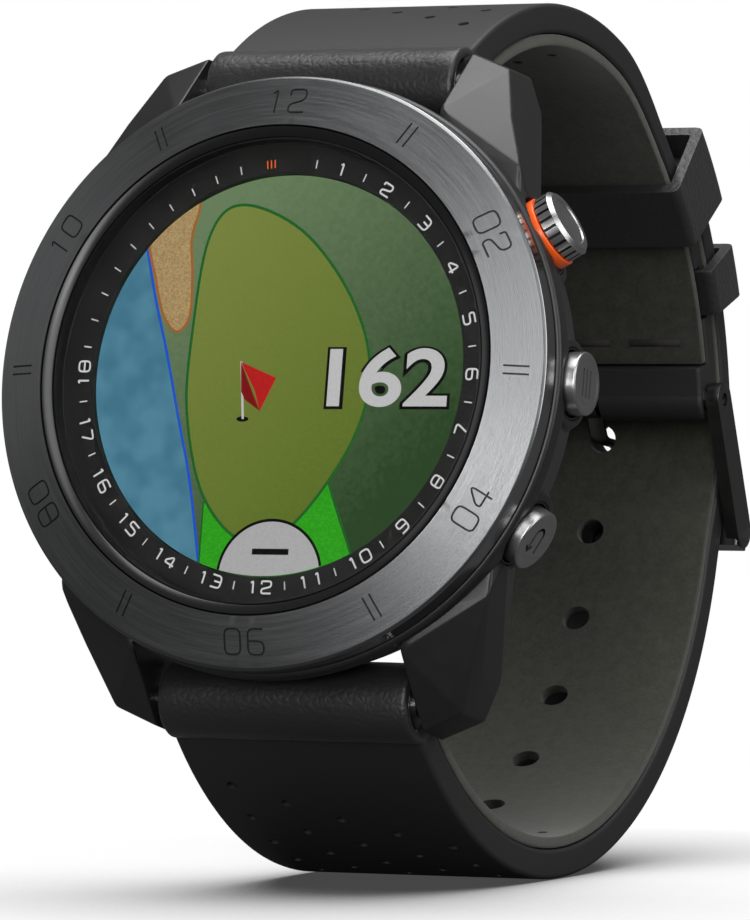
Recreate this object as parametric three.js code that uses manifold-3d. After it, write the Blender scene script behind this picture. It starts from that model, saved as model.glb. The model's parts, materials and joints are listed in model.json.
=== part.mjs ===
// A round golf watch: a metal case with a conical bezel and three side buttons, on a buckled leather strap.
// Millimetres. The origin is the centre of the case back's flat face. The dial looks along -Y, twelve
// o'clock is +Z and the buttons are on the +X side, so Y grows from the bezel's front to the wrist.
import * as THREE from "three";
import { ConvexGeometry } from "three/addons/geometries/ConvexGeometry.js";
import { mergeVertices } from "three/addons/utils/BufferGeometryUtils.js";
import Module from "manifold-3d";

const wasm = await Module();
wasm.setup();

const rad = THREE.MathUtils.degToRad;
const X_AXIS = new THREE.Vector3(1, 0, 0);

// ---- Driving sizes -------------------------------------------------------------------------------

// Radial build-up of the dial, from the middle outwards.
const DISPLAY_RADIUS = 15.15;
const NUMBER_RING_WIDTH = 1.85;
const INNER_SLOPE_WIDTH = 1.4;
const BEZEL_WIDTH = 3.8;
const BEZEL_CHAMFER = 0.2;
const CASE_OVERHANG = 0.5;
const CASE_WALL = 4.8;
const FIT = 0.1; // clearance between neighbouring pieces that seat on each other

// Depths, measured from the bezel's front edge or from the case back.
const BODY_DEPTH = 11.6;
const BEZEL_FALL = 1.1;
const BEZEL_HEIGHT = 2.85;
const BEZEL_GROOVE = 0.3;
const GLASS_RECESS = 0.35;
const GLASS_THICKNESS = 1.8;
const NUMBER_RING_THICKNESS = 0.45;
const DISPLAY_DROP = 0.8; // number ring's front to display's front
const DISPLAY_THICKNESS = 0.6;
const BACKLIGHT_THICKNESS = 0.4;
const TRAY_FLOOR = 0.4;
const BOARD_THICKNESS = 0.7;
const CHIP_HEIGHT = 0.7;
const BACK_PLATE = 1.4;
const BACK_LIP = 1.5;
const BACK_LIP_WIDTH = 2.5;
const BACK_BEVEL = 0.5;

// Case back.
const BACK_RIM = 3.6; // case's widest radius to the edge of the case back's seat
const BACK_FLAT_RADIUS = 14.5;
const SEAL_SECTION = 0.6;
const SCREW_RADIUS = 0.5;
const SCREW_HEAD_RADIUS = 1.15;
const SCREW_HEAD_DEPTH = 0.45;
const SCREW_LENGTH = 1.9;
const CONTACT_BLOCK = { width: 9.6, height: 3.4, depth: 0.7, centreZ: -9.6 };
const CONTACT_RADIUS = 0.65;
const CONTACT_PITCH = 2.1;
const CONTACT_COUNT = 4;

// Lugs and strap pins.
const LUG_GAP = 22;
const LUG_REACH = 3.2; // how far a lug's tip stands beyond the case's widest radius
const LUG_BACK_DROP = 1.0;
const PIN_REACH = 0.7; // pin axis beyond the case's widest radius
const PIN_DEPTH = 1.3; // pin axis in front of the case back
const PIN_RADIUS = 0.95;
const PIN_TIP_RADIUS = 0.5;
const PIN_TIP_LENGTH = 1.3;

// Strap.
const STRAP_SIDE_GAP = 0.7; // strap's edge to the inner face of a lug
const LOOP_RADIUS = 30.6; // inside of the buckled loop
const STRAP_THICKNESS = 3.3;
const BUCKLE_STRAP_THICKNESS = 2.6;
const TAIL_THICKNESS = 2.75;
const LINING_THICKNESS = 0.9;
const LAYER_GAP = 0.08;
const ROLL_RADIUS = 3.0; // leather rolled round the strap connector
const ROLL_LEATHER = 0.9;
const HOLE_RADIUS = 1.175;
const HOLE_PITCH = 14.2; // degrees along the loop
const HOLES_BELOW_TONGUE = 5;
const HOLES_ABOVE_TONGUE = 2;

// Places along the loop, in degrees about its centre from +Y towards +Z.
const BAR_ANGLE = 16;
const TONGUE_HOLE_ANGLE = 9.8;
const FIXED_KEEPER = { from: 29, to: 36 };
const FREE_KEEPER = { from: 42.8, to: 53.9 };
const TAIL_TIP_ANGLE = 50.5;

// Buckle.
const BUCKLE_ARM_WIDTH = 2.8;
const BUCKLE_ARM_THICKNESS = 1.1;
const BUCKLE_ARM_GAP = 0.3; // strap edge to arm
const CROSSBAR_DEPTH = 2.2;
const CROSSBAR_ANGLE = -2.4;
const CROSSBAR_SPAN = 4.6; // degrees
const BAR_RADIUS = 0.8;
const BAR_TIP_RADIUS = 0.5;
const BUCKLE_ROLL_LEATHER = 0.8;
const TONGUE_THICKNESS = 0.75;
const TONGUE_WIDTH = 1.5;
const KEEPER_LEATHER = 0.9;
const KEEPER_SIDE_GAP = 0.35;
const KEEPER_LIFT = 0.25;

// Side buttons. Distances along a button's axis are counted from the case's widest radius.
const BUTTON_TRAVEL = 0.4;
const STEM_RADIUS = 0.7;
const BUTTON_FIT = 0.15;
const SLEEVE_WALL = 0.25;
const BOSS_WALL = 0.25;
const PLAIN_BUTTON = { headRadius: 2.35, neckRadius: 2.35, bossFace: -0.4, headBase: -1.5, headFace: 0.8 };
const KNURLED_BUTTON = { headRadius: 2.65, neckRadius: 2.2, bossFace: -0.9, headBase: -0.1, headFace: 1.7 };
const NECK_BASE = -1.5;
const SPRING_SPACE = 1.2;
const SPRING_TURNS = 2;
const SPRING_WIRE = 0.12;
const SPRING_RADIUS = 1.5;
const COLLAR_RADIUS = 2.7;
const COLLAR_THICKNESS = 0.5;
const KNURL_COUNT = 24;
const KNURL_DEPTH = 0.18;
const CLIP_RADIUS = 1.3;
const CLIP_THICKNESS = 0.3;
const SWITCH = { depth: 1.5, width: 3.2, height: 1.6 };

// Parts inside the case.
const MOTOR_RADIUS = 1.6;
const MOTOR_LENGTH = 5.8;
const WEIGHT_LENGTH = 2.2;
const SHAFT_RADIUS = 0.25;
const BOARD_EDGE_GAP = 1.0; // clears the buttons' clips when they are pressed
const ANTENNA = { width: 10, height: 5, depth: 2.2 };
const PART_GAP = 0.4;

// Facets.
const LARGE_RING = 48;
const SMALL_ROUND = 20;
const TINY_ROUND = 12;
const LOOP_STEP = 4; // degrees

// ---- Sizes worked out from the driving ones --------------------------------------------------------

const GLASS_RADIUS = DISPLAY_RADIUS + NUMBER_RING_WIDTH;
const BEZEL_INNER_RADIUS = GLASS_RADIUS + INNER_SLOPE_WIDTH;
const BEZEL_OUTER_RADIUS = BEZEL_INNER_RADIUS + BEZEL_WIDTH;
const CASE_RADIUS = BEZEL_OUTER_RADIUS + CASE_OVERHANG;
const CAVITY_RADIUS = CASE_RADIUS - CASE_WALL;
const BACK_OPENING_RADIUS = CAVITY_RADIUS - BACK_LIP_WIDTH;
const BACK_SEAT_RADIUS = CASE_RADIUS - BACK_RIM;

const FRONT_Y = -BODY_DEPTH;
const BEZEL_BOTTOM_Y = FRONT_Y + BEZEL_HEIGHT;
const CASE_TOP_Y = BEZEL_BOTTOM_Y + BEZEL_GROOVE;
const GLASS_Y = FRONT_Y + GLASS_RECESS;
const NUMBER_RING_Y = GLASS_Y + GLASS_THICKNESS + FIT / 2;
const TRAY_Y = NUMBER_RING_Y + NUMBER_RING_THICKNESS + FIT / 2;
const DISPLAY_Y = NUMBER_RING_Y + DISPLAY_DROP;
const BACKLIGHT_Y = DISPLAY_Y + DISPLAY_THICKNESS + FIT;
const TRAY_FLOOR_Y = BACKLIGHT_Y + BACKLIGHT_THICKNESS + FIT;
const BOARD_Y = TRAY_FLOOR_Y + TRAY_FLOOR + 2 * FIT;
const CHIP_Y = BOARD_Y + BOARD_THICKNESS;
const PARTS_Y = CHIP_Y + CHIP_HEIGHT + 2 * FIT;
const BACK_INNER_Y = -BACK_PLATE;
const BACK_SEAT_Y = BACK_INNER_Y - FIT;
const BACK_LIP_Y = BACK_SEAT_Y - BACK_LIP;

const BUTTON_Y = BEZEL_BOTTOM_Y + COLLAR_RADIUS + BUTTON_FIT + SLEEVE_WALL + FIT + BOSS_WALL + FIT;
const BUTTONS = [
  { name: "top_button", angle: 30, spec: KNURLED_BUTTON, knurled: true },
  { name: "middle_button", angle: 0, spec: PLAIN_BUTTON, knurled: false },
  { name: "bottom_button", angle: -30, spec: PLAIN_BUTTON, knurled: false },
];

const LUG_INNER_X = LUG_GAP / 2;
const PIN_Z = CASE_RADIUS + PIN_REACH;
const PIN_Y = -PIN_DEPTH;
const ROLL_OFFSET = 1.38; // the roll's centre lies this far outside the loop's inner face
const ROLL_ORBIT = LOOP_RADIUS + ROLL_OFFSET;
const LOOP_Y = PIN_Y + Math.sqrt(ROLL_ORBIT ** 2 - PIN_Z ** 2);
const ROLL_ANGLE = THREE.MathUtils.radToDeg(Math.atan2(PIN_Z, PIN_Y - LOOP_Y));
const STRAP_HALF = LUG_INNER_X - STRAP_SIDE_GAP;

const UPPER_INNER = LOOP_RADIUS - 0.9; // inner face of the upper strap under the tail
const TAIL_INNER = UPPER_INNER + BUCKLE_STRAP_THICKNESS + 0.15;
const TAIL_OUTER = TAIL_INNER + TAIL_THICKNESS;
const BUCKLE_ROLL_RADIUS = BAR_RADIUS + 0.15 + BUCKLE_ROLL_LEATHER;
const BAR_ORBIT = TAIL_INNER - 0.3 - BUCKLE_ROLL_RADIUS;

// ---- Building blocks -------------------------------------------------------------------------------

// A boolean solid from a closed geometry.
function solid(geometry) {
  const bare = geometry.index ? geometry.toNonIndexed() : geometry.clone();
  bare.deleteAttribute("normal");
  bare.deleteAttribute("uv");
  const merged = mergeVertices(bare, 1e-4);
  return new wasm.Manifold(
    new wasm.Mesh({
      numProp: 3,
      vertProperties: new Float32Array(merged.attributes.position.array),
      triVerts: new Uint32Array(merged.index.array),
    }),
  );
}

// The geometry of a boolean solid.
function geometryOf(shape) {
  const mesh = shape.getMesh();
  const geometry = new THREE.BufferGeometry();
  geometry.setAttribute("position", new THREE.BufferAttribute(new Float32Array(mesh.vertProperties), 3));
  geometry.setIndex(new THREE.BufferAttribute(new Uint32Array(mesh.triVerts), 1));
  geometry.computeVertexNormals();
  return geometry;
}

// A solid turned about Y from a profile of [radius, y] points, open only at the axis.
function turned(profile, segments) {
  const area = profile.reduce((sum, [r, y], i) => {
    const [nextR, nextY] = profile[(i + 1) % profile.length];
    return sum + r * nextY - nextR * y;
  }, 0);
  const points = area > 0 ? [...profile] : [...profile].reverse();
  const touchesAxis = profile[0][0] === 0 && profile[profile.length - 1][0] === 0;
  if (!touchesAxis) points.push(points[0]);
  return new THREE.LatheGeometry(
    points.map(([r, y]) => new THREE.Vector2(r, y)),
    segments,
  );
}

// A disc or ring turned about Y.
function ring(innerRadius, outerRadius, fromY, toY, segments) {
  const outer = [[outerRadius, fromY], [outerRadius, toY]];
  const inner = [[innerRadius, toY], [innerRadius, fromY]];
  return turned(innerRadius > 0 ? [...outer, ...inner] : [[0, fromY], ...outer, [0, toY]], segments);
}

// Turns a geometry whose axis is Y so that its axis is X, and moves it to a pin's place.
const alongX = (geometry) => geometry.rotateZ(-Math.PI / 2);

// A box given by its lowest and highest corners.
function block([x0, y0, z0], [x1, y1, z1]) {
  const box = new THREE.BoxGeometry(x1 - x0, y1 - y0, z1 - z0);
  return box.translate((x0 + x1) / 2, (y0 + y1) / 2, (z0 + z1) / 2);
}

// An outline of [u, v] points extruded across the strap, from -half to +half along X.
// u runs along the direction `along` in the YZ plane, and v a quarter turn from it towards +Z.
function across(outline, half, origin = [0, 0], alongAngle = 0) {
  const shape = new THREE.Shape(outline.map(([u, v]) => new THREE.Vector2(u, v)));
  const geometry = new THREE.ExtrudeGeometry(shape, { depth: 2 * half, bevelEnabled: false, curveSegments: 6 });
  const c = Math.cos(rad(alongAngle));
  const s = Math.sin(rad(alongAngle));
  const basis = new THREE.Matrix4().makeBasis(
    new THREE.Vector3(0, c, s),
    new THREE.Vector3(0, -s, c),
    X_AXIS,
  );
  return geometry.translate(0, 0, -half).applyMatrix4(basis).translate(0, origin[0], origin[1]);
}

// A point of the loop: [y, z] at an angle in degrees and a radius about the loop's centre.
const loopPoint = (angle, radius) => [
  LOOP_Y + radius * Math.cos(rad(angle)),
  radius * Math.sin(rad(angle)),
];

// Points of an arc, from one angle to another, about a centre in the YZ plane.
function arc(centre, radius, fromAngle, toAngle, steps) {
  return Array.from({ length: steps + 1 }, (_, i) => {
    const angle = rad(fromAngle + ((toAngle - fromAngle) * i) / steps);
    return [centre[0] + radius * Math.cos(angle), centre[1] + radius * Math.sin(angle)];
  });
}

// A stretch of band along the loop; its inner and outer radii are functions of the angle.
function loopBand(fromAngle, toAngle, inner, outer, half) {
  const steps = Math.max(1, Math.round(Math.abs(toAngle - fromAngle) / LOOP_STEP));
  const angles = Array.from({ length: steps + 1 }, (_, i) => fromAngle + ((toAngle - fromAngle) * i) / steps);
  const outside = angles.map((a) => loopPoint(a, outer(a)));
  const inside = angles.map((a) => loopPoint(a, inner(a))).reverse();
  return across([...outside, ...inside], half);
}

const constant = (value) => () => value;

// A smooth rise from one value to another between two angles.
const ramp = (fromAngle, toAngle, from, to) => (angle) =>
  THREE.MathUtils.lerp(from, to, THREE.MathUtils.smoothstep(angle, fromAngle, toAngle));

// A cylinder through the band along the radius at an angle of the loop.
function radialHole(angle, radius) {
  const hole = new THREE.CylinderGeometry(radius, radius, 14, TINY_ROUND);
  const [y, z] = loopPoint(angle, TAIL_INNER + TAIL_THICKNESS / 2);
  return hole.rotateX(rad(angle)).translate(0, y, z);
}

const finish = (color, roughness, metalness) => new THREE.MeshStandardMaterial({ color, roughness, metalness });

const MATERIALS = {
  casePolymer: finish(0x1a1b1c, 0.5, 0.1),
  blackMetal: finish(0x1b1c1d, 0.45, 0.8),
  bezelMetal: finish(0x55565a, 0.32, 1.0),
  buttonMetal: finish(0x6d6e70, 0.3, 1.0),
  polishedBlack: finish(0x0b0b0c, 0.12, 0.2),
  glass: new THREE.MeshStandardMaterial({ color: 0xffffff, roughness: 0.03, transparent: true, opacity: 0.2 }),
  display: finish(0x4f7040, 0.4, 0),
  whitePlastic: finish(0xd8d8d2, 0.5, 0),
  blackPlastic: finish(0x17181a, 0.55, 0),
  rubber: finish(0x141414, 0.85, 0),
  circuitBoard: finish(0x12402a, 0.5, 0),
  ceramic: finish(0xb9a98a, 0.6, 0),
  foil: finish(0xa9acb0, 0.4, 0.6),
  steel: finish(0x9a9c9e, 0.35, 1.0),
  gold: finish(0xd0a24a, 0.3, 1.0),
  orange: finish(0xe0480a, 0.4, 0.1),
  leather: finish(0x1d1e1f, 0.55, 0),
  lining: finish(0x2b2b27, 0.9, 0),
};

const watch = new THREE.Group();

// Adds one named piece to a group.
function add(name, geometry, material, group = watch) {
  const mesh = new THREE.Mesh(geometry, material);
  mesh.name = name;
  group.add(mesh);
}

// ---- Case ------------------------------------------------------------------------------------------

// The group of one button: its +X axis points outwards through the button.
function buttonGroup({ angle }) {
  const group = new THREE.Group();
  group.rotation.y = -rad(angle);
  group.position.y = BUTTON_Y;
  group.updateMatrixWorld();
  return group;
}

// Sizes of one button that its neighbours share.
function buttonSizes({ spec, knurled }) {
  const counterbore = spec.neckRadius + BUTTON_FIT;
  const rimBore = knurled ? COLLAR_RADIUS + BUTTON_FIT : counterbore;
  const sleeveRadius = rimBore + SLEEVE_WALL;
  const boreRadius = sleeveRadius + FIT;
  return {
    counterbore,
    rimBore,
    sleeveRadius,
    boreRadius,
    bossRadius: boreRadius + BOSS_WALL,
    bossFace: CASE_RADIUS + spec.bossFace,
    neckBase: CASE_RADIUS + NECK_BASE,
    headBase: CASE_RADIUS + spec.headBase,
    headFace: CASE_RADIUS + spec.headFace,
    springFloor: CASE_RADIUS + NECK_BASE - SPRING_SPACE,
    sleeveEnd: CAVITY_RADIUS + FIT,
    stemEnd: CAVITY_RADIUS - 1.0,
  };
}

// One faceted lug in the +X +Z quarter: an inner triangular facet, a main facet, an outer bevel and a side.
function lug(signX, signZ) {
  const inner = LUG_INNER_X;
  const tip = CASE_RADIUS + LUG_REACH;
  const ringMid = (CASE_RADIUS + CAVITY_RADIUS) / 2;
  const onRing = (x, radius) => Math.sqrt(radius ** 2 - x ** 2);
  const corners = [
    [inner, PIN_Y - 1.2, tip - 0.2],
    [inner, CASE_TOP_Y + 0.9, onRing(inner, CASE_RADIUS) + 0.5],
    [inner + 3.0, CASE_TOP_Y + 0.9, onRing(inner + 3.0, CASE_RADIUS) - 0.6],
    [inner + 3.4, PIN_Y - 1.7, tip - 1.6],
    [inner + 5.0, PIN_Y - 4.2, tip - 5.9],
    [inner + 6.7, CASE_TOP_Y + 1.4, tip - 9.9],
    [inner + 4.7, PIN_Y - 1.7, tip - 4.4],
    [inner + 7.3, PIN_Y - 4.2, tip - 13.2],
    [inner, LUG_BACK_DROP, tip],
    [inner + 3.5, LUG_BACK_DROP, tip - 1.5],
    [inner + 4.7, LUG_BACK_DROP - 0.4, tip - 4.2],
    [inner, -0.6, onRing(inner, ringMid)],
    [inner + 6.6, -2.0, onRing(inner + 6.6, ringMid)],
    [inner, CASE_TOP_Y + 0.9, onRing(inner, ringMid)],
    [inner + 6.6, CASE_TOP_Y + 1.4, onRing(inner + 6.6, ringMid)],
    [inner, LUG_BACK_DROP - 0.3, tip - 5.4],
  ];
  return new ConvexGeometry(corners.map(([x, y, z]) => new THREE.Vector3(signX * x, y, signZ * z)));
}

// The room that the rolled strap end needs between two lugs.
function rollRelief(signZ) {
  const reach = ROLL_RADIUS + 4 * FIT;
  const relief = alongX(new THREE.CylinderGeometry(reach, reach, LUG_GAP, LARGE_RING / 2));
  const beyond = block([-LUG_INNER_X, PIN_Y - reach, 0], [LUG_INNER_X, PIN_Y + reach, reach]);
  return solid(relief.translate(0, PIN_Y, signZ * PIN_Z)).add(
    solid(signZ > 0 ? beyond.translate(0, 0, PIN_Z) : beyond.translate(0, 0, -PIN_Z - reach)),
  );
}

function caseRing() {
  const sealInner = BACK_OPENING_RADIUS + 0.5;
  const sealOuter = sealInner + SEAL_SECTION + FIT;
  const sealFloor = BACK_SEAT_Y - SEAL_SECTION - FIT;
  return turned(
    [
      [CAVITY_RADIUS, CASE_TOP_Y],
      [CASE_RADIUS - 0.25, CASE_TOP_Y],
      [CASE_RADIUS, CASE_TOP_Y + 0.25],
      [CASE_RADIUS, CASE_TOP_Y + 1.45],
      [CASE_RADIUS - 0.4, CASE_TOP_Y + 2.45],
      [CASE_RADIUS - 1.1, BACK_LIP_Y],
      [CASE_RADIUS - 2.7, -0.7],
      [CASE_RADIUS - 3.0, -BACK_BEVEL],
      [BACK_SEAT_RADIUS, -BACK_BEVEL],
      [BACK_SEAT_RADIUS, BACK_SEAT_Y],
      [sealOuter, BACK_SEAT_Y],
      [sealOuter, sealFloor],
      [sealInner, sealFloor],
      [sealInner, BACK_SEAT_Y],
      [BACK_OPENING_RADIUS, BACK_SEAT_Y],
      [BACK_OPENING_RADIUS, BACK_LIP_Y],
      [CAVITY_RADIUS, BACK_LIP_Y],
    ],
    LARGE_RING,
  );
}

// Centres of the case back's screws.
const screwOrbit = (BACK_SEAT_RADIUS + BACK_OPENING_RADIUS + SEAL_SECTION) / 2 + 0.3;
const screwPlaces = [45, 135, 225, 315].map((angle) => [
  screwOrbit * Math.cos(rad(angle)),
  screwOrbit * Math.sin(rad(angle)),
]);

function midCase() {
  let body = solid(caseRing());
  for (const signX of [1, -1]) {
    for (const signZ of [1, -1]) body = body.add(solid(lug(signX, signZ)));
  }
  for (const button of BUTTONS) {
    const { matrixWorld } = buttonGroup(button);
    const sizes = buttonSizes(button);
    const footRadius = sizes.bossRadius + 1.2;
    const boss = turned(
      [
        [0, CAVITY_RADIUS + 1],
        [footRadius, CAVITY_RADIUS + 1],
        [footRadius, sizes.bossFace - 2.4],
        [sizes.bossRadius, sizes.bossFace - 1.0],
        [sizes.bossRadius, sizes.bossFace],
        [0, sizes.bossFace],
      ],
      SMALL_ROUND,
    );
    const bore = ring(0, sizes.boreRadius, CAVITY_RADIUS - 3, CASE_RADIUS + 3, SMALL_ROUND);
    body = body.add(solid(alongX(boss).applyMatrix4(matrixWorld)));
    body = body.subtract(solid(alongX(bore).applyMatrix4(matrixWorld)));
  }
  // The bosses' feet stop under the bezel and above the case back's seat.
  body = body.subtract(solid(ring(0, CASE_RADIUS + 3, FRONT_Y, CASE_TOP_Y, LARGE_RING)));
  body = body.subtract(solid(ring(0, CAVITY_RADIUS, CASE_TOP_Y - 1, BACK_LIP_Y, LARGE_RING)));
  body = body.subtract(solid(ring(0, BACK_SEAT_RADIUS, BACK_SEAT_Y, LUG_BACK_DROP + 1, LARGE_RING)));
  for (const signZ of [1, -1]) {
    body = body.subtract(rollRelief(signZ));
    const pinHole = alongX(
      ring(0, PIN_TIP_RADIUS + FIT, -LUG_INNER_X - PIN_TIP_LENGTH - FIT, LUG_INNER_X + PIN_TIP_LENGTH + FIT, TINY_ROUND),
    );
    body = body.subtract(solid(pinHole.translate(0, PIN_Y, signZ * PIN_Z)));
  }
  for (const [x, z] of screwPlaces) {
    const depth = SCREW_LENGTH + FIT;
    const top = -BACK_BEVEL - SCREW_HEAD_DEPTH;
    const hole = ring(0, SCREW_RADIUS + FIT, top - depth, 0, TINY_ROUND).translate(x, 0, z);
    body = body.subtract(solid(hole));
  }
  return geometryOf(body);
}

function addCase() {
  add("mid_case", midCase(), MATERIALS.casePolymer);
  const bezelInner = BEZEL_INNER_RADIUS + FIT / 2;
  add(
    "bezel_ring",
    turned(
      [
        [bezelInner, FRONT_Y],
        [BEZEL_OUTER_RADIUS, FRONT_Y + BEZEL_FALL],
        [BEZEL_OUTER_RADIUS + BEZEL_CHAMFER, FRONT_Y + BEZEL_FALL + BEZEL_CHAMFER],
        [BEZEL_OUTER_RADIUS + BEZEL_CHAMFER, BEZEL_BOTTOM_Y],
        [bezelInner, BEZEL_BOTTOM_Y],
      ],
      LARGE_RING,
    ),
    MATERIALS.bezelMetal,
  );
  const slopeOuter = BEZEL_INNER_RADIUS - FIT / 2;
  const gasketRoom = GLASS_RADIUS + 0.35;
  add(
    "inner_bezel_ring",
    turned(
      [
        [GLASS_RADIUS, GLASS_Y],
        [slopeOuter, FRONT_Y],
        [slopeOuter, TRAY_Y - FIT / 2],
        [gasketRoom, TRAY_Y - FIT / 2],
        [gasketRoom, GLASS_Y + 0.25],
        [GLASS_RADIUS, GLASS_Y + 0.25],
      ],
      LARGE_RING,
    ),
    MATERIALS.polishedBlack,
  );
  add("cover_glass", ring(0, GLASS_RADIUS - FIT / 2, GLASS_Y, GLASS_Y + GLASS_THICKNESS, LARGE_RING), MATERIALS.glass);
  add(
    "glass_gasket",
    ring(GLASS_RADIUS, gasketRoom - FIT / 2, GLASS_Y + 0.3, GLASS_Y + GLASS_THICKNESS, LARGE_RING),
    MATERIALS.rubber,
  );
}

// ---- Display and electronics -----------------------------------------------------------------------

function addDisplay() {
  const ringInner = DISPLAY_RADIUS + FIT;
  add(
    "hole_number_ring",
    ring(ringInner, GLASS_RADIUS + 0.3, NUMBER_RING_Y, NUMBER_RING_Y + NUMBER_RING_THICKNESS, LARGE_RING),
    MATERIALS.blackPlastic,
  );
  add(
    "display_panel",
    ring(0, DISPLAY_RADIUS, DISPLAY_Y, DISPLAY_Y + DISPLAY_THICKNESS, LARGE_RING),
    MATERIALS.display,
  );
  add(
    "display_backlight",
    ring(0, DISPLAY_RADIUS, BACKLIGHT_Y, BACKLIGHT_Y + BACKLIGHT_THICKNESS, LARGE_RING / 2),
    MATERIALS.whitePlastic,
  );
  const trayInner = DISPLAY_RADIUS + 2 * FIT;
  const trayOuter = CAVITY_RADIUS - FIT;
  const flange = BEZEL_INNER_RADIUS - FIT / 2;
  add(
    "display_frame",
    turned(
      [
        [0, TRAY_FLOOR_Y],
        [trayInner, TRAY_FLOOR_Y],
        [trayInner, TRAY_Y],
        [flange, TRAY_Y],
        [flange, CASE_TOP_Y - FIT],
        [trayOuter, CASE_TOP_Y - FIT],
        [trayOuter, TRAY_FLOOR_Y + TRAY_FLOOR],
        [0, TRAY_FLOOR_Y + TRAY_FLOOR],
      ],
      LARGE_RING / 2,
    ),
    MATERIALS.blackPlastic,
  );
}

// Centre height of the battery and its half sizes, between the motor below and the antenna above.
const partsRadius = BACK_OPENING_RADIUS - 2 * FIT;
const motorHalf = (MOTOR_LENGTH + WEIGHT_LENGTH + 2 * PART_GAP) / 2;
const motorZ = MOTOR_RADIUS - Math.sqrt(partsRadius ** 2 - motorHalf ** 2);
const antennaTop = Math.sqrt(partsRadius ** 2 - (ANTENNA.width / 2) ** 2);
const batteryBottom = motorZ + MOTOR_RADIUS + PART_GAP;
const batteryTop = antennaTop - ANTENNA.height - PART_GAP;
const batteryHalfX = Math.sqrt(partsRadius ** 2 - Math.max(-batteryBottom, batteryTop) ** 2);
const motorY = PARTS_Y + MOTOR_RADIUS + PART_GAP / 2;

function addElectronics() {
  let board = solid(ring(0, CAVITY_RADIUS - BOARD_EDGE_GAP, BOARD_Y, CHIP_Y, LARGE_RING / 2));
  for (const [x, z, width, height] of [[-4, 3, 7, 7], [5, 4, 5, 4], [4, -4, 6, 5], [-6, -6, 4, 3]]) {
    const chip = block([x - width / 2, CHIP_Y - 0.2, z - height / 2], [x + width / 2, CHIP_Y + CHIP_HEIGHT, z + height / 2]);
    board = board.add(solid(chip));
  }
  add("main_board", geometryOf(board), MATERIALS.circuitBoard);
  const batteryEnd = BACK_INNER_Y - PART_GAP;
  add(
    "battery",
    block([-batteryHalfX, PARTS_Y, batteryBottom], [batteryHalfX, batteryEnd, batteryTop]),
    MATERIALS.foil,
  );
  add(
    "gps_antenna",
    block(
      [-ANTENNA.width / 2, PARTS_Y, antennaTop - ANTENNA.height],
      [ANTENNA.width / 2, PARTS_Y + ANTENNA.depth, antennaTop],
    ),
    MATERIALS.ceramic,
  );
  const motorEnd = MOTOR_LENGTH - motorHalf;
  const shaftRoom = ring(0, SHAFT_RADIUS + FIT, motorEnd - 1.5, motorEnd + 1, TINY_ROUND);
  const motor = solid(ring(0, MOTOR_RADIUS, -motorHalf, motorEnd, SMALL_ROUND)).subtract(solid(shaftRoom));
  const atMotor = (shape) => alongX(geometryOf(shape)).translate(0, motorY, motorZ);
  add("vibration_motor_body", atMotor(motor), MATERIALS.steel);
  const weightStart = motorEnd + PART_GAP;
  const weight = solid(ring(0, MOTOR_RADIUS - FIT, weightStart, weightStart + WEIGHT_LENGTH, SMALL_ROUND))
    .subtract(solid(block([0.45, 0, -4], [4, weightStart + WEIGHT_LENGTH + 1, 4])))
    .add(solid(ring(0, SHAFT_RADIUS, motorEnd - 1.3, weightStart + WEIGHT_LENGTH, TINY_ROUND)));
  add("vibration_motor_weight", atMotor(weight), MATERIALS.steel);
}

// ---- Case back -------------------------------------------------------------------------------------

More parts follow.
